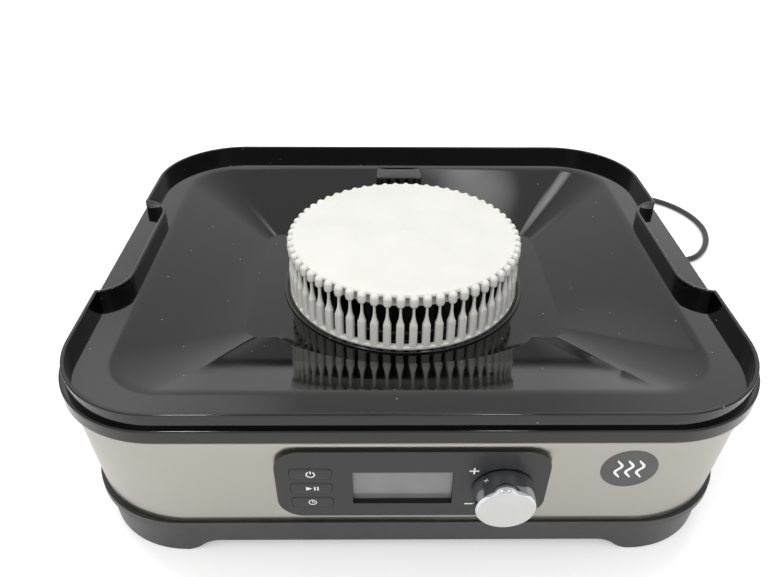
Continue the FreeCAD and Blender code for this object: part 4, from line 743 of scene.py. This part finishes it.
def recess_shares(well, climb):
    """Share of each line, well plus share times climb, that lies inside the oval: a root of a quadratic."""
    start, step = (well - AXIS) / RECESS, climb / RECESS
    a, b, c = (step**2).sum(1), 2 * (start * step).sum(1), (start**2).sum(1) - 1
    root = np.sqrt(np.maximum(b * b - 4 * a * c, 0))
    return np.where(c < 0, (root - b) / (2 * a), 0.0)


def slope_rings():
    """Rings from the border's rounded edge down to the lip of the recess, and the lip itself."""
    well = well_loop()
    climb = edge_loop(0) - well
    cut = recess_shares(well, climb)

    def slope(share):
        way = 1 + (cut - 1) * share
        return level(well + way[:, None] * climb, WELL + (BORDER - WELL) * way)

    rings = [level(edge_loop(out), BORDER) for out in (SHOULDER_WIDTH + SUPPORT, SHOULDER_WIDTH)]
    rings += [slope(0) - (0, 0, SHOULDER_SINK), *(slope(share) for share in SLOPE_SHARES)]
    return rings, slope(1)


print("highest lip of the recess", slope_rings()[1][:, 2].max().round(1), "mm")

# %% [markdown]
# ### The recess and the underside
#
# From the lip a short wall drops to the flat floor round the fan. A raised bead on the floor seats the
# cover, and the opening under it lets the air through. All these rings run about the fan's axis, so each
# point keeps its heading and only its radius and height change. The skin then returns underneath, a wall's
# thickness lower, to the skirt's foot where it began. The block at the back is a small form of its own.

# %% Deck
FAN_OPENING, DECK_WALL, SKIRT_WALL = 64.0, 2.5, 3.0
LIP_ROUND, FOOT_ROUND, FOOT_SOFT = 0.35, 0.5, 0.15
FLOOR_RADII = (90, 82, 77)
BEAD_MIDDLE, BEAD_HALF, BEAD_HEIGHT, BEAD_SQUARENESS = 75.0, 1.6, 1.4, 0.6
BLOCK_X, BLOCK_Y, BLOCK_MIDDLE, BLOCK_SQUARENESS, BLOCK_POINTS = 17.0, 9.7, 120.9, 0.16, 64
BLOCK_FOOT, BLOCK_TOP = 87.0, BORDER + 0.04
BLOCK_EDGE = [(0, 0.84), (0.15, 0.39), (0.5, 0.09), (1.0, 0)]


def recess_rings(lip):
    """Rings about the axis: wall, floor, a bead with a squared half round section, and the fan's opening."""
    reach = np.linalg.norm(lip[:, :2] - AXIS, axis=1)
    heading = (lip[:, :2] - AXIS) / reach[:, None]
    rise = lip[:, 2] - WELL
    under = WELL - DECK_WALL

    def around(radius, height):
        return level(AXIS + np.broadcast_to(radius, len(heading))[:, None] * heading, height)

    across = np.linspace(0, np.pi, 13)
    bead = BEAD_MIDDLE + BEAD_HALF * np.sign(np.cos(across)) * np.abs(np.cos(across)) ** BEAD_SQUARENESS
    swell = WELL + BEAD_HEIGHT * np.sin(across) ** BEAD_SQUARENESS
    return [
        around(reach, WELL + np.maximum(rise - LIP_ROUND, 0)),
        around(reach, WELL + np.minimum(rise, FOOT_ROUND)),
        around(reach - FOOT_SOFT, WELL + np.minimum(rise, FOOT_SOFT)),
        around(reach - FOOT_ROUND, WELL),
        *(around(radius, WELL) for radius in FLOOR_RADII),
        *(around(radius, height) for radius, height in zip(bead, swell)),
        around(FAN_OPENING + FOOT_ROUND, WELL),
        around(FAN_OPENING, WELL - FOOT_ROUND),
        around(FAN_OPENING, under + FOOT_ROUND),
        around(FAN_OPENING + FOOT_ROUND, under),
        level(lip[:, :2], under),
    ]


def deck_rings():
    """All rings of the deck's skin: up the skirt, over the rim, down the slopes and back underneath."""
    slopes, lip = slope_rings()
    ceiling = BORDER - DECK_WALL
    inside = skirt_loop(SKIRT_WALL)
    back = [level(edge_loop(0), ceiling), level(inside, ceiling), level(inside, SKIRT_FOOT)]
    return np.stack([*rim_rings(), *slopes, *recess_rings(lip), *back])


def block_grid():
    """The block at the back: rounded outlines that rise, round over at the top and close in the middle."""
    loop = ellipse_loop(1, 1, BLOCK_SQUARENESS, BLOCK_POINTS)
    steps = [(0, BLOCK_FOOT), *((inset, BLOCK_TOP - drop) for inset, drop in BLOCK_EDGE)]
    rings = [level(loop * (BLOCK_X - inset, BLOCK_Y - inset) + (0, BLOCK_MIDDLE), z) for inset, z in steps]
    floor, cap = (np.tile((0, BLOCK_MIDDLE, z), (BLOCK_POINTS, 1)) for z in (BLOCK_FOOT, BLOCK_TOP))
    return np.stack([floor, *rings, cap])


make_piece("funnel_deck", [(deck_rings(), True, True), (block_grid(), False, True)], [deck_gloss], "housing",
           ["top_deck"], sharp=38)

# %% [markdown]
# ## The fan cover
#
# The cover keeps fingers and food out of the fan: sixty posts on a ring, with a disc on top. Each post is a
# flat bar that narrows at a shoulder to a thin neck and ends in a round head. Modelled once as a stack of
# rounded sections, it is turned round the axis by an array of angles, which is quicker and neater than sixty
# copies. The ring and the disc are profiles turned about the same axis.

# %% Posts of the fan cover
COVER_TOP, COVER_DISC, COVER_THICK, COVER_RADIUS = 108.3, 69.6, 2.4, 72.6
RIB_COUNT, RIB_DEPTH, RIB_HALF, RIB_POINTS = 60, 4.0, 2.3, 16
RIB_FOOT, RIB_MIDDLE, SHOULDER, TAPER, NECK_TOP = WELL + 0.3, 80.0, 88.4, 9.2, 99.0
NECK_HALF, NECK_DEPTH, NECK_SETBACK, TAPER_POWER = 0.75, 1.1, 0.2, 2.1
HEAD, HEAD_FOOT, HEAD_CROWN = 2.6, 102.6, 105.6
HEAD_UNDER, HEAD_OVER = np.radians(np.linspace(20, 90, 6)), np.radians(np.linspace(90, 180, 8))
COVER_RING = 2.0


def rib_sections():
    """Height, half width, half depth, squareness and centre radius of a post's sections from foot to head.

    What is left of the bar fades over the taper by a power. The head is a ball cut in two and drawn apart."""
    bar = [RIB_FOOT, RIB_FOOT, WELL + COVER_RING, RIB_MIDDLE, SHOULDER - 0.3]
    taper = SHOULDER + TAPER * np.linspace(0, 1, 11)
    turn = np.concatenate([HEAD_UNDER, HEAD_OVER])
    middle = np.repeat((HEAD_FOOT, HEAD_CROWN), (len(HEAD_UNDER), len(HEAD_OVER)))
    height = np.concatenate([bar, taper, [NECK_TOP], middle - HEAD * np.cos(turn)])
    left_over = (1 - np.clip((height - SHOULDER) / TAPER, 0, 1)) ** TAPER_POWER
    width = NECK_HALF + (RIB_HALF - NECK_HALF) * left_over
    depth = NECK_DEPTH + (RIB_DEPTH / 2 - NECK_DEPTH) * left_over
    width[0] = depth[0] = 0
    width[-len(turn):] = depth[-len(turn):] = HEAD * np.sin(turn)
    power = 1 - left_over / 2
    centre = COVER_RADIUS - RIB_DEPTH / 2 - NECK_SETBACK * (1 - left_over)
    return height, width, depth, power, centre


def rib_grids():
    """One grid for each post: its sections, turned to the post's own angle about the fan's axis."""
    height, width, depth, power, centre = rib_sections()
    loops = np.stack([ellipse_loop(w, d, p, RIB_POINTS) for w, d, p in zip(width, depth, power)])
    radius, aside = centre[:, None] + loops[..., 1], loops[..., 0]
    angles = np.radians(-90 + 360 / RIB_COUNT * (np.arange(RIB_COUNT) + 0.5))
    for angle in angles:
        x = AXIS[0] + radius * np.cos(angle) - aside * np.sin(angle)
        y = AXIS[1] + radius * np.sin(angle) + aside * np.cos(angle)
        yield np.stack([x, y, np.broadcast_to(height[:, None], x.shape)], axis=-1)


print("sections in a post", len(rib_sections()[0]))

# %% Ring, disc and collar of the fan cover
COLLAR, COLLAR_WALL, COLLAR_DEPTH = 63.5, 1.4, 9.4
RING_INNER = COVER_RADIUS - RIB_DEPTH
RING_PROFILE = [(RING_INNER + 0.3, 0), (COVER_RADIUS - 0.2, 0), (COVER_RADIUS, 0.3), (COVER_RADIUS, 1.4),
                (COVER_RADIUS - 0.2, 1.8), (COVER_RADIUS - 0.6, COVER_RING), (RING_INNER + 0.4, COVER_RING),
                (RING_INNER, 1.6), (RING_INNER, 0.3)]
GATE_MARK = [(0, 0), (1.7, 0), (2.0, 0.12), (2.4, 0.12), (2.7, 0), (30, 0)]
DISC_EDGE = [(1.2, 0), (0.5, 0.15), (0.12, 0.5), (0, 1.1), (0, COVER_THICK - 0.3), (0.3, COVER_THICK)]


def on_axis(grid):
    """Moves a turned grid to the fan's axis."""
    return grid + (*AXIS, 0)


def disc_profile():
    """From the middle: the mark that the mould's gate leaves, the top, the rounded edge, and the collar."""
    underside = COVER_TOP - COVER_THICK
    collar_foot, collar_inner = underside - COLLAR_DEPTH, COLLAR - COLLAR_WALL
    return [
        *((radius, COVER_TOP + rise) for radius, rise in GATE_MARK),
        *((COVER_DISC - inset, COVER_TOP - drop) for inset, drop in DISC_EDGE),
        (COLLAR, underside), (COLLAR, collar_foot), (collar_inner, collar_foot), (collar_inner, underside),
        (0, underside),
    ]


seat_ring = lathe([(radius, WELL + rise) for radius, rise in RING_PROFILE], 240)
cover_grids = [(on_axis(seat_ring), True, True), (on_axis(lathe(disc_profile(), 180)), False, True)]
cover_grids += [(grid, False, True) for grid in rib_grids()]
make_piece("ribbed_fan_cover", cover_grids, [cover_plastic], "housing", ["fan_cover"],
           sharp=40)

# %% [markdown]
# ## The steel band
#
# A strip of sheet, brushed along its length, bent round the casing and leaning inwards towards the foot. It
# is a straight-sided surface between two outlines, so a grid of two parameters gives it: the way round and
# the height. The squares behind the panel are left out, and Solidify turns the sheet into real metal with
# edges. The UV map measures the sheet in metres, along and up, for the brush lines.

# %% Steel band
BAND_FOOT, BAND_TOP = 26.0, 88.4
BAND_LEAN = np.radians(5.5)
BAND_TOP_X, BAND_TOP_Y, BAND_TOP_CORNER = 176.6, 153.9, 63.0
BAND_GAUGE = 0.8
WINDOW_X, PANEL_Z, WINDOW_HALF = 60.5, 59.0, 20.2
WINDOW_SILL, WINDOW_HEAD = PANEL_Z - WINDOW_HALF, PANEL_Z + WINDOW_HALF
BAND_LEVELS = np.array([BAND_FOOT, 31, WINDOW_SILL, 48, PANEL_Z, 70, WINDOW_HEAD, 85, BAND_TOP])


def band_ring(height):
    """The band's outline at a height: the top outline moved in by the lean, from the middle of the back."""
    shift = (BAND_TOP - height) * np.tan(BAND_LEAN)
    half_x, half_y, corner = BAND_TOP_X - shift, BAND_TOP_Y - shift, BAND_TOP_CORNER - shift
    flat_x, flat_y = half_x - corner, half_y - corner
    beside, behind = line(WINDOW_X, flat_x, 9), line(-WINDOW_X, WINDOW_X, 17)
    front_x = np.concatenate([-beside[::-1], behind[1:], beside[1:]])
    return np.concatenate([
        line((0, half_y), (-flat_x, half_y), 12),
        arc(-flat_x, flat_y, corner, 90, 180, 26)[1:-1],
        line((-half_x, flat_y), (-half_x, -flat_y), 16),
        arc(-flat_x, -flat_y, corner, 180, 270, 26)[1:-1],
        np.column_stack([front_x, np.full(len(front_x), -half_y)]),
        arc(flat_x, -flat_y, corner, 270, 360, 26)[1:-1],
        line((half_x, -flat_y), (half_x, flat_y), 16),
        arc(flat_x, flat_y, corner, 0, 90, 26)[1:-1],
        line((flat_x, half_y), (0, half_y), 12)[:-1],
    ])


def sheet_uv(foot, faces, columns):
    """UVs of the squares' corners: the way along the foot, counted on past the last column, and up."""
    step = np.linalg.norm(np.diff(foot, axis=0, append=foot[:1]), axis=1)
    along = np.concatenate([[0], np.cumsum(step)])
    column = faces % columns
    past_end = (column == 0) & (column.max(axis=1, keepdims=True) == columns - 1)
    return np.stack([along[np.where(past_end, columns, column)], BAND_LEVELS[faces // columns]], axis=-1)


def sheet_mesh():
    """The sheet without thickness: the squares of the grid that lie outside the window."""
    rings = np.stack([level(band_ring(height), height) for height in BAND_LEVELS])
    rows, columns = rings.shape[:2]
    faces = squares(rows, columns, False, True)
    x, y, z = rings.reshape(-1, 3)[faces].mean(axis=1).T
    hidden = (np.abs(x) < WINDOW_X) & (np.abs(z - PANEL_Z) < WINDOW_HALF) & (y < 0)
    faces = faces[~hidden]
    mesh = bpy.data.meshes.new("brushed_band")
    mesh.from_pydata((rings.reshape(-1, 3) * MM).tolist(), [], faces.tolist())
    corner_uv = sheet_uv(rings[0], faces, columns) * MM
    mesh.uv_layers.new(name="brush").uv.foreach_set("vector", corner_uv.ravel())
    return mesh


def drop_loose(mesh):
    """Removes points that no face uses."""
    cleaned = bmesh.new()
    cleaned.from_mesh(mesh)
    bmesh.ops.delete(cleaned, geom=[v for v in cleaned.verts if not v.link_faces], context="VERTS")
    cleaned.to_mesh(mesh)
    cleaned.free()


sheet = sheet_mesh()
drop_loose(sheet)
sheet.materials.append(band_brushed)
sheet.shade_smooth()
band = add_object("brushed_band", sheet)
gauge = band.modifiers.new("gauge", "SOLIDIFY")
gauge.thickness = BAND_GAUGE * MM
gauge.offset = -1
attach(band, "housing")
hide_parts("steel_band")
print("band faces", len(sheet.polygons))

# %% [markdown]
# ## The control panel
#
# The panel leans with the steel, so its pieces are drawn flat, in a frame of their own: along, up the panel
# and out of it. One function carries such points into the object's frame. The bezel itself has openings of
# several shapes, which the CAD solid already holds, so it keeps that solid and gets a finish. The keys have a
# soft crown and rounded edges: a few rounded rectangles, each a little smaller and further out.

# %% Panel frame and keys
PANEL_ORIGIN = np.array([0.0, -151.07, PANEL_Z])
PANEL_ALONG = np.array([1.0, 0.0, 0.0])
PANEL_UP = np.array([0.0, -np.sin(BAND_LEAN), np.cos(BAND_LEAN)])
PANEL_OUT = np.array([0.0, -np.cos(BAND_LEAN), -np.sin(BAND_LEAN)])
KEYS = {"power": 9.0, "start": -2.15, "set": -13.3}
KEY_X, KEY_WIDE, KEY_HIGH, KEY_CORNER, KEY_LEAST_CORNER = -48.4, 20.6, 8.2, 2.2, 0.4
KEY_TOP, KEY_BACK = 2.3, -1.5
KEY_EDGE = [(0, 0.75), (0.1, 0.4), (0.35, 0.15), (0.8, 0.05), (1.8, 0)]


def on_panel(points):
    """Points along, up and out of the panel, as points of the object."""
    along, up, out = points[..., :1], points[..., 1:2], points[..., 2:]
    return PANEL_ORIGIN + along * PANEL_ALONG + up * PANEL_UP + out * PANEL_OUT


def rounded_box(half_x, half_y, corner, count=9):
    """A rounded rectangle, anticlockwise, about the origin."""
    corners = [(1, 1, 0), (-1, 1, 90), (-1, -1, 180), (1, -1, 270)]
    return np.concatenate([
        arc(x * (half_x - corner), y * (half_y - corner), corner, start, start + 90, count)
        for x, y, start in corners
    ])


def key_grid(up):
    """Rings from the back of a key over its rounded edge to a slightly crowned middle."""
    rings = []
    for inset, out in [(0, KEY_BACK), *((inset, KEY_TOP - drop) for inset, drop in KEY_EDGE)]:
        corner = max(KEY_CORNER - inset, KEY_LEAST_CORNER)
        loop = rounded_box(KEY_WIDE / 2 - inset, KEY_HIGH / 2 - inset, corner)
        rings.append(level(loop + (KEY_X, up), out))
    back, top = (np.tile((KEY_X, up, out), (len(rings[0]), 1)) for out in (KEY_BACK, KEY_TOP))
    return on_panel(np.stack([back, *rings, top]))


for key, key_up in KEYS.items():
    make_piece(f"{key}_key_cap", [(key_grid(key_up), False, True)], [key_satin], f"{key}_key",
               [f"{key}_button"])

# %% [markdown]
# ### Printed signs
#
# The keys say what they do: on and off, start and pause, and the time. A plus and a minus stand beside the
# dial. Print could be a picture on the surface, but a thin strip along a path stays crisp from near by and
# rides on its key. A strip has two edges square to its path, and a width for each of its points.

# %% Strips of print
INK = 0.06


def strip(path, widths, base, closed=False):
    """A thin flat strip along a path: two edges square to it, a bottom and a top, with the ends closed."""
    path, widths = np.array(path, dtype=float), np.array(widths, dtype=float)
    if closed:
        ahead = np.roll(path, -1, axis=0) - np.roll(path, 1, axis=0)
    else:
        ahead = np.gradient(path, axis=0)
    ahead /= np.linalg.norm(ahead, axis=1, keepdims=True)
    aside = np.column_stack([-ahead[:, 1], ahead[:, 0]]) * widths[:, None] / 2
    section = ((-1, 0), (1, 0), (1, INK), (-1, INK))
    grid = np.stack([level(path + side * aside, base + high) for side, high in section], axis=1)
    if not closed:
        first, last = (np.tile((*path[place], base + INK / 2), (1, 4, 1)) for place in (0, -1))
        grid = np.concatenate([first, grid, last])
    return grid, closed, True


def bar(start, end, width, base):
    """A straight strip."""
    return strip(line(start, end, 2), [width, width], base)


def print_sign(name, strips, body):
    """White print on the panel or on a key."""
    grids = [(on_panel(grid), rows, columns) for grid, rows, columns in strips]
    make_piece(name, grids, [print_white], body, sharp=20)


print("ink is", INK, "mm thick")

# %% Signs on the keys
KEY_INK = KEY_TOP - 0.02
POWER_RADIUS, POWER_DROP, POWER_OPENING, POWER_LINE = 1.95, 0.2, 28, 0.6
POWER_BAR = (0.3, 2.3)
PLAY_BACK, PLAY_TIP, PLAY_HIGH, PLAY_POINT = -2.6, 0.3, 2.9, 0.05
PAUSE_PLACES, PAUSE_HALF, PAUSE_LINE = (1.6, 3.1), 1.4, 0.75
CLOCK_RADIUS, CLOCK_LINE, HAND_LINE = 1.8, 0.5, 0.45
LONG_HAND, SHORT_HAND = (-0.2, 1.2), (-0.15, 1.0)


def power_strips(up):
    """A ring that is open at the top, with a bar in the opening."""
    ring = arc(KEY_X, up - POWER_DROP, POWER_RADIUS, 90 + POWER_OPENING, 450 - POWER_OPENING, 40)
    ends = [(KEY_X, up + rise) for rise in POWER_BAR]
    return [strip(ring, np.full(len(ring), POWER_LINE), KEY_INK), bar(*ends, POWER_LINE, KEY_INK)]


def start_strips(up):
    """A triangle, which is a strip that narrows to a point, and two upright bars."""
    play = strip([(KEY_X + PLAY_BACK, up), (KEY_X + PLAY_TIP, up)], [PLAY_HIGH, PLAY_POINT], KEY_INK)
    pause = [bar((KEY_X + x, up - PAUSE_HALF), (KEY_X + x, up + PAUSE_HALF), PAUSE_LINE, KEY_INK)
             for x in PAUSE_PLACES]
    return [play, *pause]


def clock_strips(up):
    """A full ring with a long hand upwards and a short one to the right."""
    ring = arc(KEY_X, up, CLOCK_RADIUS, 0, 360, 49)[:-1]
    long_ends = [(KEY_X, up + reach) for reach in LONG_HAND]
    short_ends = [(KEY_X + reach, up) for reach in SHORT_HAND]
    return [strip(ring, np.full(len(ring), CLOCK_LINE), KEY_INK, closed=True),
            bar(*long_ends, HAND_LINE, KEY_INK), bar(*short_ends, HAND_LINE, KEY_INK)]


print_sign("power_sign", power_strips(KEYS["power"]), "power_key")
print_sign("start_pause_sign", start_strips(KEYS["start"]), "start_key")
print_sign("timer_sign", clock_strips(KEYS["set"]), "set_key")

# %% Signs beside the dial
FACE_INK = 1.99
MORE_X, MORE_UP, MORE_ARM, MORE_GAP = 29.2, 10.9, 2.3, 0.5
LESS_X, LESS_UP, LESS_ARM, DIAL_LINE = 28.4, -15.2, 2.0, 0.75
level_arm = bar((MORE_X - MORE_ARM, MORE_UP), (MORE_X + MORE_ARM, MORE_UP), DIAL_LINE, FACE_INK)
lower_arm, upper_arm = (
    bar((MORE_X, MORE_UP + low), (MORE_X, MORE_UP + high), DIAL_LINE, FACE_INK)
    for low, high in ((-MORE_ARM, -MORE_GAP), (MORE_GAP, MORE_ARM))
)
print_sign("more_sign", [level_arm, lower_arm, upper_arm], "housing")
less_arm = bar((LESS_X - LESS_ARM, LESS_UP), (LESS_X + LESS_ARM, LESS_UP), DIAL_LINE, FACE_INK)
print_sign("less_sign", [less_arm], "housing")

# %% [markdown]
# ## The knob
#
# A plated cap, slightly wider at the panel, with a bright chamfer round a satin face. It is a profile turned
# about the panel's normal, and the rings of its face take a second, softer metal.

# %% Knob
DIAL_X, DIAL_UP, DIAL_POINTS = 44.0, -3.0, 128
KNOB_SKIRT = [(0, 2.4), (14.7, 2.4), (15.0, 2.5), (15.1, 2.8), (14.95, 6.0), (14.7, 10.0), (14.48, 13.2)]
KNOB_CHAMFER = [(14.42, 13.5), (14.3, 13.65), (13.65, 14.3), (13.5, 14.38)]
KNOB_FACE = [(13.3, 14.4), (12.0, 14.4), (6.0, 14.4), (0, 14.4)]
knob_profile = KNOB_SKIRT + KNOB_CHAMFER + KNOB_FACE
knob_grid = on_panel(lathe(knob_profile, DIAL_POINTS) + (DIAL_X, DIAL_UP, 0))
satin = np.zeros((len(knob_profile) - 1, DIAL_POINTS), dtype=np.int32)
satin[-len(KNOB_FACE):] = 1
make_piece("plated_knob", [(knob_grid, False, True)], [chrome_side, chrome_face], "dial",
           ["knob"], sharp=28, second=satin)

# %% [markdown]
# ## The round mark on the steel
#
# Near the right corner a dark disc is printed on the steel. It carries three rising waves, the common sign
# for warm air. The disc spans the start of the bend, so its points are laid on the band by the way round:
# straight ahead up to the bend, and then along the corner's arc. The waves are strips along a sine.

# %% Round mark
MARK_ALONG, MARK_Z, MARK_RADIUS = 103.4, 68.6, 13.7
MARK_PROFILE = [(0, 0.01), (MARK_RADIUS, 0.01), (MARK_RADIUS, 0.1), (10, 0.12), (5, 0.12), (0, 0.12)]
WAVE_PLACES, WAVE_HALF, WAVE_LENGTH, WAVE_SWING = (-5.2, 0, 5.2), 6.5, 8.8, 1.3
WAVE_WIDTH, WAVE_FADE, WAVE_LEAST, WAVE_BASE = 1.5, 7.0, 0.02, 0.1


def on_band(points):
    """Points along the front of the band, at a height and off its face, as points of the object."""
    along, height, off = points[..., 0], points[..., 1], points[..., 2]
    shift = (BAND_TOP - height) * np.tan(BAND_LEAN)
    half_y, corner = BAND_TOP_Y - shift, BAND_TOP_CORNER - shift
    flat = BAND_TOP_X - BAND_TOP_CORNER
    turn = np.clip(along - flat, 0, None) / corner
    ahead = off * np.cos(BAND_LEAN)
    x = np.minimum(along, flat) + corner * np.sin(turn) + ahead * np.sin(turn)
    y = -half_y + corner * (1 - np.cos(turn)) - ahead * np.cos(turn)
    return np.stack([x, y, height - off * np.sin(BAND_LEAN)], axis=-1)


def wave_strips():
    """Three upright sine waves, each widest in the middle by the root of a parabola."""
    rise = np.linspace(-WAVE_HALF, WAVE_HALF, 33)
    swing = WAVE_SWING * np.sin(2 * np.pi * rise / WAVE_LENGTH)
    width = WAVE_WIDTH * np.sqrt(np.clip(1 - (rise / WAVE_FADE) ** 2, WAVE_LEAST, 1))
    for place in WAVE_PLACES:
        path = np.column_stack([MARK_ALONG + place + swing, MARK_Z + rise])
        grid, wrap_rows, wrap_columns = strip(path, width, WAVE_BASE)
        yield on_band(grid), wrap_rows, wrap_columns


mark_disc = on_band(lathe(MARK_PROFILE, 96) * (1, np.cos(BAND_LEAN), 1) + (MARK_ALONG, MARK_Z, 0))
make_piece("round_mark", [(mark_disc, False, True)], [badge_ink], "housing")
make_piece("warm_air_waves", wave_strips(), [print_white], "housing", sharp=20)

# %% [markdown]
# ## The table
#
# The object stands on a plain pale table that runs out to white. A white floor could be lit until it clips,
# but that would bleach the object too. Instead the table gives off a little light of its own, a bit more
# towards the camera and into mirror images, so it turns white by itself and still keeps the soft shadow.

# %% Table
TABLE_HALF, TABLE_CLOUD = 5.0, 3
TABLE_DARK, TABLE_PALE = (0.93, 0.93, 0.93), (0.95, 0.95, 0.95)
FLOOR_GLOW, FLOOR_SEEN = 0.12, 0.24


def table_finish():
    """Matt white with faint clouds; its glow is higher where the camera or a mirror looks at it."""
    material, tree, shader = new_finish("table_white")
    cloud = noise(tree, coordinates(tree), TABLE_CLOUD)
    tree.links.new(tint(tree, cloud, TABLE_DARK, TABLE_PALE), shader.inputs["Base Color"])
    shader.inputs["Roughness"].default_value = 0.9
    shader.inputs["Specular IOR Level"].default_value = 0
    shader.inputs["Emission Color"].default_value = (1, 1, 1, 1)
    path = tree.nodes.new("ShaderNodeLightPath").outputs
    seen = calculate(tree, "ADD", path["Is Camera Ray"], path["Is Glossy Ray"])
    seen = calculate(tree, "ADD", seen, path["Is Transmission Ray"])
    tree.links.new(spread(tree, seen, FLOOR_GLOW, FLOOR_SEEN, 0, 1), shader.inputs["Emission Strength"])
    return material


table_mesh = bpy.data.meshes.new("table")
table_corners = [(x * TABLE_HALF, y * TABLE_HALF, 0) for x, y in ((-1, -1), (1, -1), (1, 1), (-1, 1))]
table_mesh.from_pydata(table_corners, [], [(0, 1, 2, 3)])
table_mesh.materials.append(table_finish())
add_object("table", table_mesh)
print("table", 2 * TABLE_HALF, "m wide")

# %% [markdown]
# ## The light tent
#
# A glossy deck shows its surroundings more than itself, so the surroundings are drawn with care. They are a
# white tent: bright walls, a darker roof, lighter flanks beside the roof and dim wings far out at the sides.
# Round panes with soft edges stand in for the bright spots of a real room: weak ones that the slopes and
# their valleys pick up as a broad glow, and two small strong ones near the zenith that only rounded edges
# mirror, as short bright streaks. A tent could be modelled, but a world shader says it with a few numbers.

# %% Light tent
HORIZON, WALL, OVERHEAD, SIDES, WINGS = 0.85, 0.94, 0.72, 0.34, 0.55
WALL_RISE, ROOF_FALL = (0.1, 0.6), (0.66, 0.9)
SIDES_RISE, WINGS_FALL = (0.23, 0.36), (0.44, 0.6)
# Each pane: the direction to it, its strength, and the radius in degrees of its full part and of its edge
PANES = [
    ((0.135, 0.363, 0.922), 2.8, 0.3, 3.3),
    ((0.100, 0.447, 0.889), 3.6, 0.3, 4.5),
    ((-0.230, 0.495, 0.838), 2.6, 0.3, 4.0),
    ((-0.266, 0.675, 0.688), 0.7, 4.0, 10.0),
    ((-0.250, 0.120, 0.961), 70.0, 1.0, 2.5),
    ((0.165, 0.120, 0.979), 48.0, 1.0, 2.5),
]


def tent_light(tree, direction):
    """Light by direction: a level that follows the height and the distance to the side."""
    axes = tree.nodes.new("ShaderNodeSeparateXYZ")
    tree.links.new(direction, axes.inputs["Vector"])
    height = axes.outputs["Z"]
    aside = calculate(tree, "ABSOLUTE", axes.outputs["X"], 0.0)
    walls = spread(tree, height, HORIZON, WALL, *WALL_RISE)
    roof = spread(tree, height, 1, OVERHEAD / WALL, *ROOF_FALL)
    flanks = spread(tree, aside, 0, SIDES, *SIDES_RISE)
    light = calculate(tree, "ADD", calculate(tree, "MULTIPLY", walls, roof), flanks)
    return calculate(tree, "MULTIPLY", light, spread(tree, aside, 1, WINGS, *WINGS_FALL))


def pane_light(tree, direction, towards, strength, full, edge):
    """Light of a round pane: full near its middle and none past its edge, by the cosine to its direction."""
    aim = tree.nodes.new("ShaderNodeVectorMath")
    aim.operation = "DOT_PRODUCT"
    aim.inputs[1].default_value = towards
    tree.links.new(direction, aim.inputs[0])
    start, end = np.cos(np.radians([edge, full])).tolist()
    return spread(tree, aim.outputs["Value"], 0, strength, start, end)


world = bpy.data.worlds.new("light_tent")
bpy.context.scene.world = world
world.use_nodes = True
tent = world.node_tree
tent_direction = tent.nodes.new("ShaderNodeTexCoord").outputs["Generated"]
tent_level = tent_light(tent, tent_direction)
for pane in PANES:
    tent_level = calculate(tent, "ADD", tent_level, pane_light(tent, tent_direction, *pane))
tent.nodes["Background"].inputs["Color"].default_value = (1, 1, 1, 1)
tent.links.new(tent_level, tent.nodes["Background"].inputs["Strength"])
print("tent", HORIZON, "to", WALL, "to", OVERHEAD, "with", len(PANES), "panes")

# %% [markdown]
# ## The soft lamp
#
# The tent alone leaves the posts of the cover flat. A large lamp above the camera, on the left, lights their
# fronts. It is left out of mirror images, because the gloss would show its rectangle. The plain Standard view
# shows colours as they are written.

# %% Lamp and view
LAMP_FROM, LAMP_SIZE, LAMP_POWER = (-450, -1250, 1250), (1600, 1200), 9.5
lamp = add_object("soft_lamp", bpy.data.lights.new("soft_lamp", "AREA"))
lamp.data.shape = "RECTANGLE"
lamp.data.size, lamp.data.size_y = (side * MM for side in LAMP_SIZE)
lamp.data.energy = LAMP_POWER
lamp.location = [value * MM for value in LAMP_FROM]
lamp.visible_glossy = False
lamp.rotation_euler = (-lamp.location).to_track_quat("-Z", "Y").to_euler()
bpy.context.scene.view_settings.view_transform = "Standard"
print("lamp", LAMP_POWER, "W")
